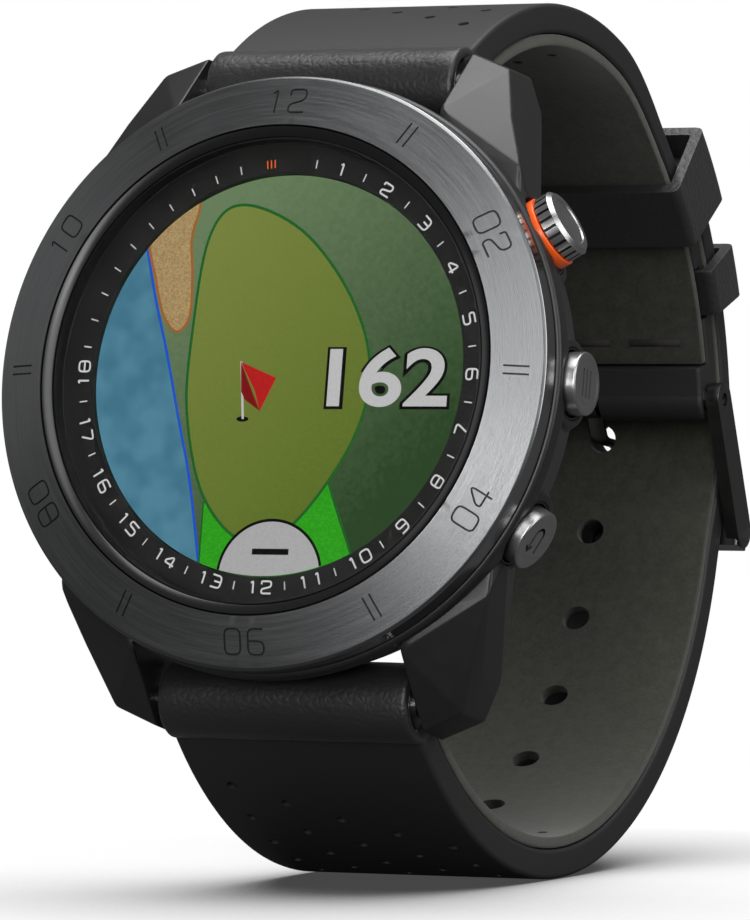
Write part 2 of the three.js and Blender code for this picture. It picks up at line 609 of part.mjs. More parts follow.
function addCaseBack() {
  const edge = BACK_SEAT_RADIUS - FIT;
  let plate = solid(
    turned(
      [
        [0, BACK_INNER_Y],
        [edge, BACK_INNER_Y],
        [edge, -BACK_BEVEL],
        [BACK_FLAT_RADIUS, 0],
        [0, 0],
      ],
      LARGE_RING,
    ),
  );
  const { width, height, depth, centreZ } = CONTACT_BLOCK;
  const pocket = block(
    [-width / 2 - FIT, -depth - FIT, centreZ - height / 2 - FIT],
    [width / 2 + FIT, 1, centreZ + height / 2 + FIT],
  );
  plate = plate.subtract(solid(pocket));
  const headFloor = -BACK_BEVEL - SCREW_HEAD_DEPTH;
  for (const [x, z] of screwPlaces) {
    const headRoom = ring(0, SCREW_HEAD_RADIUS + FIT, headFloor - FIT, 1, SMALL_ROUND);
    const shaftRoom = ring(0, SCREW_RADIUS + FIT, BACK_INNER_Y - 1, 0, TINY_ROUND);
    plate = plate.subtract(solid(headRoom.translate(x, 0, z))).subtract(solid(shaftRoom.translate(x, 0, z)));
  }
  add("case_back", geometryOf(plate), MATERIALS.casePolymer);

  const sealInner = BACK_OPENING_RADIUS + 0.5 + FIT / 2;
  add(
    "case_back_seal",
    ring(sealInner, sealInner + SEAL_SECTION, BACK_SEAT_Y - SEAL_SECTION, BACK_SEAT_Y + FIT / 2, LARGE_RING),
    MATERIALS.rubber,
  );
  screwPlaces.forEach(([x, z], i) => {
    const screw = turned(
      [
        [0, headFloor - SCREW_LENGTH],
        [SCREW_RADIUS, headFloor - SCREW_LENGTH],
        [SCREW_RADIUS, headFloor],
        [SCREW_HEAD_RADIUS, headFloor],
        [SCREW_HEAD_RADIUS, headFloor + SCREW_HEAD_DEPTH],
        [0, headFloor + SCREW_HEAD_DEPTH],
      ],
      TINY_ROUND,
    );
    add(`case_back_screw_${i + 1}`, screw.translate(x, 0, z), MATERIALS.steel);
  });

  let insert = solid(
    block([-width / 2, -depth, centreZ - height / 2], [width / 2, -FIT / 2, centreZ + height / 2]),
  );
  for (let i = 0; i < CONTACT_COUNT; i++) {
    const x = (i - (CONTACT_COUNT - 1) / 2) * CONTACT_PITCH;
    const room = ring(0, CONTACT_RADIUS + FIT, -depth * 0.7, 1, TINY_ROUND);
    insert = insert.subtract(solid(room.translate(x, 0, centreZ)));
    const pad = ring(0, CONTACT_RADIUS, -depth * 0.7 + FIT / 2, 0, TINY_ROUND);
    add(`charging_contact_${i + 1}`, pad.translate(x, 0, centreZ), MATERIALS.gold);
  }
  add("charging_contact_block", geometryOf(insert), MATERIALS.blackPlastic);
}

// ---- Side buttons ----------------------------------------------------------------------------------

class Helix extends THREE.Curve {
  constructor(radius, from, to, turns) {
    super();
    Object.assign(this, { radius, from, to, turns });
  }

  getPoint(t, target = new THREE.Vector3()) {
    const angle = 2 * Math.PI * this.turns * t;
    return target.set(
      THREE.MathUtils.lerp(this.from, this.to, t),
      this.radius * Math.cos(angle),
      this.radius * Math.sin(angle),
    );
  }
}

function spring(from, to) {
  const wire = new THREE.Shape();
  for (let i = 0; i < 6; i++) {
    const angle = (i * Math.PI) / 3;
    wire[i ? "lineTo" : "moveTo"](SPRING_WIRE * Math.cos(angle), SPRING_WIRE * Math.sin(angle));
  }
  const path = new Helix(SPRING_RADIUS, from + 1.5 * SPRING_WIRE, to - 1.5 * SPRING_WIRE, SPRING_TURNS);
  return new THREE.ExtrudeGeometry(wire, { steps: 12 * SPRING_TURNS, extrudePath: path });
}

// The knurled head: a disc whose rim has a shallow groove between every two ridges.
function knurledHead(radius, from, to) {
  const rim = Array.from({ length: 2 * KNURL_COUNT }, (_, i) => {
    const angle = (i * Math.PI) / KNURL_COUNT;
    const r = i % 2 ? radius - KNURL_DEPTH : radius;
    return new THREE.Vector2(r * Math.cos(angle), r * Math.sin(angle));
  });
  const head = new THREE.ExtrudeGeometry(new THREE.Shape(rim), { depth: to - from, bevelEnabled: false });
  return head.translate(0, 0, from).rotateY(Math.PI / 2);
}

function clip() {
  const open = rad(30);
  const outline = new THREE.Shape();
  outline.absarc(0, 0, CLIP_RADIUS, open, 2 * Math.PI - open, false);
  outline.absarc(0, 0, STEM_RADIUS - 0.1, 2 * Math.PI - open, open, true);
  const geometry = new THREE.ExtrudeGeometry(outline, {
    depth: CLIP_THICKNESS,
    bevelEnabled: false,
    curveSegments: TINY_ROUND / 2,
  });
  return geometry.rotateY(Math.PI / 2);
}

function addButton(button) {
  const { name, spec, knurled } = button;
  const group = buttonGroup(button);
  const sizes = buttonSizes(button);
  const grooveRadius = STEM_RADIUS - 0.2;
  const clipSeat = sizes.sleeveEnd - 0.6;
  const stemAndNeck = [
    [0, sizes.stemEnd],
    [STEM_RADIUS, sizes.stemEnd],
    [STEM_RADIUS, clipSeat - 0.05],
    [grooveRadius, clipSeat - 0.05],
    [grooveRadius, clipSeat + CLIP_THICKNESS + 0.05],
    [STEM_RADIUS, clipSeat + CLIP_THICKNESS + 0.05],
    [STEM_RADIUS, sizes.neckBase],
    [spec.neckRadius, sizes.neckBase],
  ];
  let cap;
  if (knurled) {
    const neck = [...stemAndNeck, [spec.neckRadius, sizes.headBase + 0.1], [0, sizes.headBase + 0.1]];
    const head = solid(knurledHead(spec.headRadius, sizes.headBase, sizes.headFace));
    cap = geometryOf(solid(alongX(turned(neck, SMALL_ROUND))).add(head));
  } else {
    const edge = 0.15;
    const face = [
      [spec.headRadius, sizes.headFace - edge],
      [spec.headRadius - edge, sizes.headFace],
      [0, sizes.headFace],
    ];
    cap = alongX(turned([...stemAndNeck, ...face], SMALL_ROUND));
  }
  add(`${name}_cap`, cap, MATERIALS.buttonMetal, group);
  if (knurled) {
    const collar = ring(
      spec.neckRadius + FIT,
      COLLAR_RADIUS,
      sizes.headBase - COLLAR_THICKNESS - FIT / 2,
      sizes.headBase - FIT / 2,
      SMALL_ROUND,
    );
    add(`${name}_collar`, alongX(collar), MATERIALS.orange, group);
  }

  const stemBore = STEM_RADIUS + BUTTON_FIT;
  const sealBore = stemBore + SEAL_SECTION;
  const sealStart = sizes.sleeveEnd + 0.6;
  const rimFloor = knurled ? sizes.headBase - COLLAR_THICKNESS - BUTTON_TRAVEL - 2 * FIT : sizes.bossFace - 0.2;
  const sleeve = turned(
    [
      [sizes.sleeveRadius, sizes.sleeveEnd],
      [sizes.sleeveRadius, sizes.bossFace],
      [sizes.rimBore, sizes.bossFace],
      [sizes.rimBore, rimFloor],
      [sizes.counterbore, rimFloor],
      [sizes.counterbore, sizes.springFloor],
      [stemBore, sizes.springFloor],
      [stemBore, sealStart + SEAL_SECTION],
      [sealBore, sealStart + SEAL_SECTION],
      [sealBore, sealStart],
      [stemBore, sealStart],
      [stemBore, sizes.sleeveEnd],
    ],
    SMALL_ROUND,
  );
  // Where a sleeve is deep enough to reach the case back, it is cut away to clear the plate.
  const backRoomY = BACK_SEAT_Y - FIT - BUTTON_Y;
  const backRoom = block([0, backRoomY, -BACK_SEAT_RADIUS], [BACK_SEAT_RADIUS + FIT, BODY_DEPTH, BACK_SEAT_RADIUS]);
  const trimmedSleeve = geometryOf(solid(alongX(sleeve)).subtract(solid(backRoom)));
  add(`${name}_sleeve`, trimmedSleeve, MATERIALS.blackMetal, group);
  const seal = ring(STEM_RADIUS + FIT, sealBore - FIT, sealStart + FIT, sealStart + SEAL_SECTION - FIT, SMALL_ROUND);
  add(`${name}_seal`, alongX(seal), MATERIALS.rubber, group);
  add(`${name}_spring`, spring(sizes.springFloor, sizes.neckBase), MATERIALS.steel, group);
  add(`${name}_clip`, clip().translate(clipSeat, 0, 0), MATERIALS.steel, group);

  const switchFace = sizes.stemEnd - BUTTON_TRAVEL - FIT;
  const housing = block(
    [switchFace - SWITCH.depth, -SWITCH.height / 2, -SWITCH.width / 2],
    [switchFace, SWITCH.height / 2, SWITCH.width / 2],
  );
  add(`${name}_switch`, housing, MATERIALS.blackPlastic, group);
  watch.add(group);
}

// ---- Strap hardware at the lugs --------------------------------------------------------------------

// A geometry outlined in the roll's own directions: u along the strap away from the case, v outwards.
const atRoll = (outline, half) => across(outline, half, [PIN_Y, PIN_Z], ROLL_ANGLE - 90);

const rectangle = (u0, u1, v0, v1) => [[u0, v0], [u1, v0], [u1, v1], [u0, v1]];

// The latch's window, between the roll's open side and the start of the lining.
const LATCH = { half: 4.5, from: -1.0, to: 1.3, low: -2.75, high: -1.45, travel: 1.2 };
const latchWindow = () => atRoll(rectangle(LATCH.from - 0.3, 3.0, LATCH.low - 0.6, LATCH.high + 0.25), LATCH.half + 0.3);

// The open side that lets the roll snap over its pin.
const rollSlot = (halfGap, reach) => atRoll(rectangle(-halfGap, halfGap, -reach, 0), STRAP_HALF + 1);

function rollTube(innerRadius, outerRadius, half) {
  const tube = alongX(ring(innerRadius, outerRadius, -half, half, LARGE_RING / 2));
  return solid(tube.translate(0, PIN_Y, PIN_Z));
}

// One end's pin, connector and latch, drawn at the top; the lower end's group mirrors them.
function addStrapHardware(end, group) {
  const tipX = LUG_INNER_X + PIN_TIP_LENGTH;
  const bodyX = LUG_INNER_X - FIT;
  const pin = turned(
    [
      [0, -tipX],
      [PIN_TIP_RADIUS, -tipX],
      [PIN_TIP_RADIUS, -bodyX],
      [PIN_RADIUS, -bodyX],
      [PIN_RADIUS, bodyX],
      [PIN_TIP_RADIUS, bodyX],
      [PIN_TIP_RADIUS, tipX],
      [0, tipX],
    ],
    SMALL_ROUND,
  );
  add(`lug_pin_${end}`, alongX(pin).translate(0, PIN_Y, PIN_Z), MATERIALS.steel, group);

  const connector = rollTube(PIN_RADIUS + 2 * FIT, ROLL_RADIUS - ROLL_LEATHER - FIT, STRAP_HALF - FIT)
    .subtract(solid(rollSlot(PIN_RADIUS + FIT, ROLL_RADIUS)))
    .subtract(solid(latchWindow()));
  add(`strap_connector_${end}`, geometryOf(connector), MATERIALS.steel, group);
  add(
    `strap_latch_${end}`,
    atRoll(rectangle(LATCH.from, LATCH.to, LATCH.low, LATCH.high), LATCH.half),
    MATERIALS.steel,
    group,
  );
}

// ---- Strap -----------------------------------------------------------------------------------------

const bandStart = ROLL_ANGLE - THREE.MathUtils.radToDeg(1.0 / ROLL_ORBIT);
const liningStart = ROLL_ANGLE - THREE.MathUtils.radToDeg(3.3 / ROLL_ORBIT);

// The leather that wraps the connector, with its snap-on side open.
function wrappedEnd(leather) {
  return leather
    .add(rollTube(ROLL_RADIUS - ROLL_LEATHER, ROLL_RADIUS, STRAP_HALF))
    .subtract(rollTube(0, ROLL_RADIUS - ROLL_LEATHER, STRAP_HALF + 1))
    .subtract(solid(rollSlot(PIN_RADIUS + 3 * FIT, ROLL_RADIUS + 1)))
    .subtract(solid(latchWindow()));
}

// Inner face of each half of the strap, as a radius about the loop's centre.
const upperInner = ramp(56, 78, UPPER_INNER, LOOP_RADIUS);
const upperOuter = ramp(56, 78, UPPER_INNER + BUCKLE_STRAP_THICKNESS, LOOP_RADIUS + STRAP_THICKNESS);
const lowerInner = ramp(-8, 14, LOOP_RADIUS, TAIL_INNER);
const lowerOuter = ramp(-8, 14, LOOP_RADIUS + STRAP_THICKNESS, TAIL_OUTER);
const onLining = (inner) => (angle) => inner(angle) + LINING_THICKNESS;
const aboveLining = (inner) => (angle) => inner(angle) + LINING_THICKNESS + LAYER_GAP;

const FOLD_END_ANGLE = BAR_ANGLE + 5.4; // where the leather folded round the buckle bar is sewn down

function addUpperStrap() {
  const bar = loopPoint(BAR_ANGLE, BAR_ORBIT);
  const around = (inner, outer) => {
    const tube = alongX(ring(inner, outer, -STRAP_HALF, STRAP_HALF, SMALL_ROUND));
    return solid(tube.translate(0, bar[0], bar[1]));
  };
  const keeperGroove = loopBand(
    FIXED_KEEPER.from - 0.6,
    FIXED_KEEPER.to + 0.6,
    constant(UPPER_INNER),
    constant(UPPER_INNER + LINING_THICKNESS + LAYER_GAP + 0.75),
    STRAP_HALF + 1,
  );
  const tongueWindow = across(
    arc(bar, BUCKLE_ROLL_RADIUS + 0.6, 0, 360, SMALL_ROUND).slice(1),
    TONGUE_WIDTH / 2 + 0.5,
  );
  const fold = loopBand(
    BAR_ANGLE,
    FOLD_END_ANGLE,
    constant(BAR_ORBIT - BUCKLE_ROLL_RADIUS + 0.05),
    constant(UPPER_INNER + BUCKLE_STRAP_THICKNESS),
    STRAP_HALF,
  );
  let leather = solid(loopBand(bandStart, BAR_ANGLE + 1, aboveLining(upperInner), upperOuter, STRAP_HALF));
  leather = wrappedEnd(leather.add(solid(fold)).add(around(0, BUCKLE_ROLL_RADIUS)))
    .subtract(around(0, BAR_RADIUS + 0.15))
    .subtract(solid(tongueWindow))
    .subtract(solid(keeperGroove));
  add("upper_strap_leather", geometryOf(leather), MATERIALS.leather);
  const lining = loopBand(liningStart, FOLD_END_ANGLE + 0.3, upperInner, onLining(upperInner), STRAP_HALF);
  add("upper_strap_lining", lining, MATERIALS.lining);
}

function addLowerStrap() {
  // Both pieces are drawn as the upper strap's mirror image, so their angles run the other way.
  const mirrored = (radiusAt) => (angle) => radiusAt(-angle);
  const leatherBand = loopBand(
    bandStart,
    -TAIL_TIP_ANGLE,
    mirrored(aboveLining(lowerInner)),
    mirrored(lowerOuter),
    STRAP_HALF,
  );
  const liningBand = loopBand(
    liningStart,
    -TAIL_TIP_ANGLE + 0.5,
    mirrored(lowerInner),
    mirrored(onLining(lowerInner)),
    STRAP_HALF,
  );
  let leather = wrappedEnd(solid(leatherBand));
  let lining = solid(liningBand);
  for (let i = -HOLES_BELOW_TONGUE; i <= HOLES_ABOVE_TONGUE; i++) {
    const hole = solid(radialHole(-(TONGUE_HOLE_ANGLE + i * HOLE_PITCH), HOLE_RADIUS));
    leather = leather.subtract(hole);
    lining = lining.subtract(hole);
  }
  const group = new THREE.Group();
  group.scale.z = -1;
  add("lower_strap_leather", geometryOf(leather), MATERIALS.leather, group);
  add("lower_strap_lining", geometryOf(lining), MATERIALS.lining, group);
  addStrapHardware("bottom", group);
  watch.add(group);
}

// A leather band that closes round the strap between two angles and two radii.
function keeper({ from, to }, innerRadius, outerRadius, legThickness) {
  const outerHalf = STRAP_HALF + KEEPER_SIDE_GAP + KEEPER_LEATHER;
  const shell = loopBand(from, to, constant(innerRadius), constant(outerRadius), outerHalf);
  const room = loopBand(
    from - 4,
    to + 4,
    constant(innerRadius + legThickness),
    constant(outerRadius - KEEPER_LEATHER),
    outerHalf - KEEPER_LEATHER,
  );
  return geometryOf(solid(shell).subtract(solid(room)));
}

function addKeepers() {
  const outerRadius = TAIL_OUTER + KEEPER_LIFT + KEEPER_LEATHER;
  const sewnLeg = UPPER_INNER + LINING_THICKNESS + LAYER_GAP + FIT;
  add("fixed_keeper", keeper(FIXED_KEEPER, sewnLeg, outerRadius, 0.5), MATERIALS.leather);
  const looseLeg = UPPER_INNER - KEEPER_LIFT - KEEPER_LEATHER;
  add("free_keeper", keeper(FREE_KEEPER, looseLeg, outerRadius, KEEPER_LEATHER), MATERIALS.leather);
}

// ---- Buckle ----------------------------------------------------------------------------------------

const armInnerX = STRAP_HALF + BUCKLE_ARM_GAP;
const armOuterX = armInnerX + BUCKLE_ARM_THICKNESS;

// An outline that follows a path of [y, z] points at half a thickness on each side.
function thickened(path, thickness) {
  const sides = [1, -1].map((sign) =>
    path.map(([y, z], i) => {
      const [y0, z0] = path[Math.max(i - 1, 0)];
      const [y1, z1] = path[Math.min(i + 1, path.length - 1)];
      const length = Math.hypot(y1 - y0, z1 - z0);
      const offset = (sign * thickness) / 2 / length;
      return [y - (z1 - z0) * offset, z + (y1 - y0) * offset];
    }),
  );
  return [...sides[0], ...sides[1].reverse()];
}

function addBuckle() {
  const bar = loopPoint(BAR_ANGLE, BAR_ORBIT);
  const crossbarInner = lowerOuter(CROSSBAR_ANGLE + CROSSBAR_SPAN / 2) + 0.2;
  const crossbarOuter = crossbarInner + CROSSBAR_DEPTH;
  const end = loopPoint(CROSSBAR_ANGLE, (crossbarInner + crossbarOuter) / 2);
  const slope = THREE.MathUtils.radToDeg(Math.atan2(end[1] - bar[1], end[0] - bar[0]));
  const arm = [
    ...arc(end, BUCKLE_ARM_WIDTH / 2, slope - 90, slope + 90, 8),
    ...arc(bar, BUCKLE_ARM_WIDTH / 2, slope + 90, slope + 270, 8),
  ];
  const crossbar = loopBand(
    CROSSBAR_ANGLE - CROSSBAR_SPAN / 2,
    CROSSBAR_ANGLE + CROSSBAR_SPAN / 2,
    constant(crossbarInner),
    constant(crossbarOuter),
    armOuterX - FIT,
  );
  const betweenArms = solid(across(arc(bar, 40, 0, 360, 12).slice(1), armInnerX));
  const notch = loopBand(
    CROSSBAR_ANGLE - CROSSBAR_SPAN,
    CROSSBAR_ANGLE + CROSSBAR_SPAN,
    constant(crossbarOuter - TONGUE_THICKNESS),
    constant(crossbarOuter + 1),
    TONGUE_WIDTH / 2 + 0.3,
  );
  const pivotHole = alongX(ring(0, BAR_TIP_RADIUS + FIT, -armOuterX - 1, armOuterX + 1, TINY_ROUND));
  const frame = solid(across(arm, armOuterX))
    .subtract(betweenArms)
    .add(solid(crossbar))
    .subtract(solid(notch))
    .subtract(solid(pivotHole.translate(0, bar[0], bar[1])));
  add("buckle_frame", geometryOf(frame), MATERIALS.blackMetal);

  const barBody = armInnerX - FIT;
  const barTip = armOuterX - 0.4;
  const pin = turned(
    [
      [0, -barTip],
      [BAR_TIP_RADIUS, -barTip],
      [BAR_TIP_RADIUS, -barBody],
      [BAR_RADIUS, -barBody],
      [BAR_RADIUS, barBody],
      [BAR_TIP_RADIUS, barBody],
      [BAR_TIP_RADIUS, barTip],
      [0, barTip],
    ],
    TINY_ROUND,
  );
  add("buckle_bar", alongX(pin).translate(0, bar[0], bar[1]), MATERIALS.steel);

  // The tongue leaves its ring on the bar, crosses the tail's hole and lies in the crossbar's notch.
  const restRadius = crossbarOuter - TONGUE_THICKNESS / 2 + 0.1;
  const path = [
    loopPoint(BAR_ANGLE - 1.6, BAR_ORBIT + 0.4),
    loopPoint(TONGUE_HOLE_ANGLE + 1.4, TAIL_INNER - 1.0),
    loopPoint(TONGUE_HOLE_ANGLE - 0.1, TAIL_INNER - 0.2),
    loopPoint(TONGUE_HOLE_ANGLE - 0.8, TAIL_OUTER + 0.15),
    loopPoint(TONGUE_HOLE_ANGLE - 2.2, TAIL_OUTER + 0.8),
    loopPoint(TONGUE_HOLE_ANGLE - 6, restRadius),
    loopPoint(CROSSBAR_ANGLE, restRadius),
    loopPoint(CROSSBAR_ANGLE - CROSSBAR_SPAN / 2, restRadius),
  ];
  const half = TONGUE_WIDTH / 2;
  const eye = alongX(ring(0, BAR_RADIUS + 0.75, -half, half, SMALL_ROUND)).translate(0, bar[0], bar[1]);
  const eyeHole = alongX(ring(0, BAR_RADIUS + FIT, -half - 1, half + 1, SMALL_ROUND)).translate(0, bar[0], bar[1]);
  const tongue = solid(across(thickened(path, TONGUE_THICKNESS), half)).add(solid(eye)).subtract(solid(eyeHole));
  add("buckle_tongue", geometryOf(tongue), MATERIALS.blackMetal);
}

// ---- Assembly --------------------------------------------------------------------------------------

addCase();
addDisplay();
addElectronics();
addCaseBack();
BUTTONS.forEach(addButton);
addUpperStrap();
addStrapHardware("top", watch);
addLowerStrap();
addKeepers();
addBuckle();

export default watch;
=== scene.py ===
"""Visible surfaces and finishes of a golf watch on a buckled leather strap, built round its mechanical frame.

Lengths in the classes are in millimetres. The dial looks along -Y, twelve o'clock is +Z and the buttons are
on the +X side. Dial pieces are modelled flat, with twelve o'clock along +Y and the front along +Z, and then
placed.
"""

from __future__ import annotations

import json
import logging
import math
from collections.abc import Callable, Iterator, Sequence
from contextlib import contextmanager
from dataclasses import dataclass
from enum import Enum

import bpy
from mathutils import Matrix, Vector

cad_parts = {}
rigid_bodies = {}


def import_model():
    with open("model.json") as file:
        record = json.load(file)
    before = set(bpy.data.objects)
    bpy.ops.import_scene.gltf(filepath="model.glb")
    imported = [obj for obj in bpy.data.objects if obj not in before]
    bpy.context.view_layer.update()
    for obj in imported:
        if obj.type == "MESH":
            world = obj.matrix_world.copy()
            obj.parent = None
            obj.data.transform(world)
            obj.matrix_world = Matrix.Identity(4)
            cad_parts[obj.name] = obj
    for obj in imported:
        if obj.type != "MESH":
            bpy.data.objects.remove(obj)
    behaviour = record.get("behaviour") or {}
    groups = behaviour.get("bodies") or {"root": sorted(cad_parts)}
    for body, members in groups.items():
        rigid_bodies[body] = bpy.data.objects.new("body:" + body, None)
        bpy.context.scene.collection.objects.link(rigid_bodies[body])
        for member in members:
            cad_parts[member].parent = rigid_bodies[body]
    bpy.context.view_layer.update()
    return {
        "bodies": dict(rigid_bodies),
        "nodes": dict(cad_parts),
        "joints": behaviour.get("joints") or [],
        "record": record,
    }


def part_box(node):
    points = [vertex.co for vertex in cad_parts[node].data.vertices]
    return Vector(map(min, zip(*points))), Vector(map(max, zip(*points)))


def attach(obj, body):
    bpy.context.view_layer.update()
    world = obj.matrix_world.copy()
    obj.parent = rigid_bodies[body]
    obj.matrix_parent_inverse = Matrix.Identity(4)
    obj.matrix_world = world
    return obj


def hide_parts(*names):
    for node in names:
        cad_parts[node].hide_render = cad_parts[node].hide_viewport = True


MM = 0.001
LOG = logging.getLogger("golf_watch")

Piece = bpy.types.Object
Outline = Sequence[tuple[float, float]]

# Dial directions: flat x, y and height become +X, +Z and -Y.
DIAL = Matrix(((1, 0, 0, 0), (0, 0, -1, 0), (0, 1, 0, 0), (0, 0, 0, 1)))

# Radius of the flat cap that closes a turned disc at its axis, on a wide piece and on a narrow one.
HUB = 0.5
NARROW_HUB = 0.1


# ---- Modelling bench -----------------------------------------------------------------------------------


def take(*pieces: Piece) -> None:
    """Selects only the given pieces and makes the first one active.

    Args:
        pieces: The pieces, or none.
    """
    if bpy.context.object and bpy.context.object.mode != "OBJECT":
        bpy.ops.object.mode_set(mode="OBJECT")
    bpy.ops.object.select_all(action="DESELECT")
    for piece in pieces:
        piece.select_set(True)
    if pieces:
        bpy.context.view_layer.objects.active = pieces[0]


def called(name: str) -> Piece:
    """Names the piece that was just added and puts its place into its mesh.

    Args:
        name: The piece's name.

    Returns:
        The piece.
    """
    piece = bpy.context.object
    piece.name = name
    piece.data.name = name
    bpy.ops.object.transform_apply(location=True, rotation=True, scale=True)
    return piece


@contextmanager
def editing(piece: Piece) -> Iterator[None]:
    """Opens a piece in edit mode with everything selected, and closes it again.

    Args:
        piece: The piece.

    Yields:
        Nothing.
    """
    take(piece)
    bpy.ops.object.mode_set(mode="EDIT")
    bpy.ops.mesh.select_mode(type="VERT")
    bpy.ops.mesh.select_all(action="SELECT")
    yield
    bpy.ops.object.mode_set(mode="OBJECT")


def apply_modifier(piece: Piece, kind: str, **settings: object) -> Piece:
    """Adds a modifier with its settings and applies it at once.

    Args:
        piece: The piece.
        kind: The modifier's type.
        settings: Its settings by name.

    Returns:
        The piece.
    """
    take(piece)
    modifier = piece.modifiers.new(kind.lower(), kind)
    for key, value in settings.items():
        setattr(modifier, key, value)
    bpy.ops.object.modifier_apply(modifier=modifier.name)
    return piece


def bevel(piece: Piece, width: float, segments: int = 2, angle: float = 30) -> Piece:
    """Rounds every edge sharper than an angle in degrees.

    Args:
        piece: The piece.
        width: Width of the rounding.
        segments: Steps in it.
        angle: The angle.

    Returns:
        The piece.
    """
    return apply_modifier(
        piece,
        "BEVEL",
        width=width * MM,
        segments=segments,
        limit_method="ANGLE",
        angle_limit=math.radians(angle),
        harden_normals=False,
    )


class Joining(Enum):
    """How a tool changes a piece."""

    CUT = "DIFFERENCE"
    JOIN = "UNION"
    KEEP = "INTERSECT"


def combine(piece: Piece, tool: Piece, joining: Joining = Joining.CUT, crossing: bool = False) -> Piece:
    """Cuts, joins or trims a piece with a tool, which is used up.

    Args:
        piece: The piece that changes.
        tool: The closed mesh that it is changed by.
        joining: What is done with it.
        crossing: True when either of them crosses itself.

    Returns:
        The changed piece.
    """
    apply_modifier(
        piece, "BOOLEAN", operation=joining.value, object=tool, solver="EXACT", use_self=crossing
    )
    bpy.data.objects.remove(tool, do_unlink=True)
    return piece


def place(piece: Piece, matrix: Matrix) -> Piece:
    """Moves a piece by a matrix and leaves its object at the origin.

    Args:
        piece: The piece.
        matrix: The matrix, in metres.

    Returns:
        The piece.
    """
    take(piece)
    piece.matrix_world = matrix @ piece.matrix_world
    bpy.ops.object.transform_apply(location=True, rotation=True, scale=True)
    return piece


def smooth(piece: Piece, angle: float = 32) -> Piece:
    """Shades a piece smooth apart from its sharp edges, and keeps its flat faces flat.

    Args:
        piece: The piece.
        angle: Edges sharper than this, in degrees, stay sharp.

    Returns:
        The piece.
    """
    take(piece)
    bpy.ops.object.shade_smooth_by_angle(angle=math.radians(angle))
    return apply_modifier(piece, "WEIGHTED_NORMAL", keep_sharp=True, weight=70)


def remap(piece: Piece, to: Callable[[Vector], Vector]) -> Piece:
    """Moves every vertex to the place that a function gives it, both in millimetres.

    Args:
        piece: The piece.
        to: The function.

    Returns:
        The piece.
    """
    for vertex in piece.data.vertices:
        vertex.co = to(vertex.co / MM) * MM
    piece.data.update()
    return piece


def join(name: str, pieces: Sequence[Piece]) -> Piece:
    """Joins several pieces into one mesh without merging them.

    Args:
        name: The joined piece's name.
        pieces: The pieces, which are used up.

    Returns:
        The joined piece.
    """
    take(*pieces)
    if len(pieces) > 1:
        bpy.ops.object.join()
    joined = bpy.context.object
    joined.name = joined.data.name = name
    return joined


def face_out(piece: Piece) -> Piece:
    """Merges doubled vertices and turns all faces outwards.

    Args:
        piece: The piece.

    Returns:
        The piece.
    """
    with editing(piece):
        bpy.ops.mesh.remove_doubles(threshold=0.0005 * MM)
        bpy.ops.mesh.normals_make_consistent(inside=False)
    return piece


def rounded(outline: Outline, radius: float, closed: bool = True, steps: int = 3) -> list[tuple[float, float]]:
    """Rounds the corners of an outline.

    Args:
        outline: Its corners.
        radius: How far from a corner the rounding starts; it is limited by the two sides.
        closed: Whether the last corner joins the first one.
        steps: Steps in each rounding.

    Returns:
        The rounded outline.
    """
    corners = [Vector(point) for point in outline]
    result: list[tuple[float, float]] = []
    for i, corner in enumerate(corners):
        if not closed and i in (0, len(corners) - 1):
            result.append(tuple(corner))
            continue
        back = corners[i - 1] - corner
        ahead = corners[(i + 1) % len(corners)] - corner
        reach = min(radius, 0.45 * back.length, 0.45 * ahead.length)
        start = corner + back.normalized() * reach
        end = corner + ahead.normalized() * reach
        for k in range(steps + 1):
            t = k / steps
            result.append(tuple(start * (1 - t) ** 2 + corner * (2 * t * (1 - t)) + end * t**2))
    return result


def flowing(points: Outline, closed: bool = True, steps: int = 8) -> list[tuple[float, float]]:
    """Draws a smooth line through a few points.

    Args:
        points: Points that the line passes through.
        closed: Whether it returns to the first point.
        steps: Steps between two points.

    Returns:
        Points along the line.
    """
    knots = [Vector(point) for point in points]
    count = len(knots)
    result: list[tuple[float, float]] = []
    for i in range(count if closed else count - 1):
        if closed:
            a, b, c, d = (knots[(i + k) % count] for k in (-1, 0, 1, 2))
        else:
            a, b, c, d = (knots[min(max(i + k, 0), count - 1)] for k in (-1, 0, 1, 2))
        for k in range(steps):
            t = k / steps
            point = 0.5 * (
                2 * b + (c - a) * t + (2 * a - 5 * b + 4 * c - d) * t**2 + (3 * b - a - 3 * c + d) * t**3
            )
            result.append(tuple(point))
    if not closed:
        result.append(tuple(knots[-1]))
    return result


def turned(name: str, outline: Outline, segments: int = 96, ring: bool = True) -> Piece:
    """Turns an outline about Z: a circle is drawn at its first point, then extruded and scaled to the others.

    Args:
        name: The piece's name.
        outline: (radius, height) points.
        segments: Steps round the axis.
        ring: True for a ring, whose outline closes on itself; False for a disc, whose two ends are capped.

    Returns:
        The turned piece.
    """
    (radius, height), *others = outline
    take()
    bpy.ops.mesh.primitive_circle_add(
        vertices=segments,
        radius=radius * MM,
        fill_type="NOTHING" if ring else "NGON",
        location=(0, 0, height * MM),
    )
    piece = called(name)
    with editing(piece):
        for next_radius, next_height in [*others, outline[0]] if ring else others:
            rise = (next_height - height) * MM
            bpy.ops.mesh.extrude_edges_move(TRANSFORM_OT_translate={"value": (0, 0, rise)})
            scale = next_radius / radius
            bpy.ops.transform.resize(value=(scale, scale, 1), center_override=(0, 0, next_height * MM))
            radius, height = next_radius, next_height
        if not ring:
            bpy.ops.mesh.edge_face_add()
    return face_out(piece)


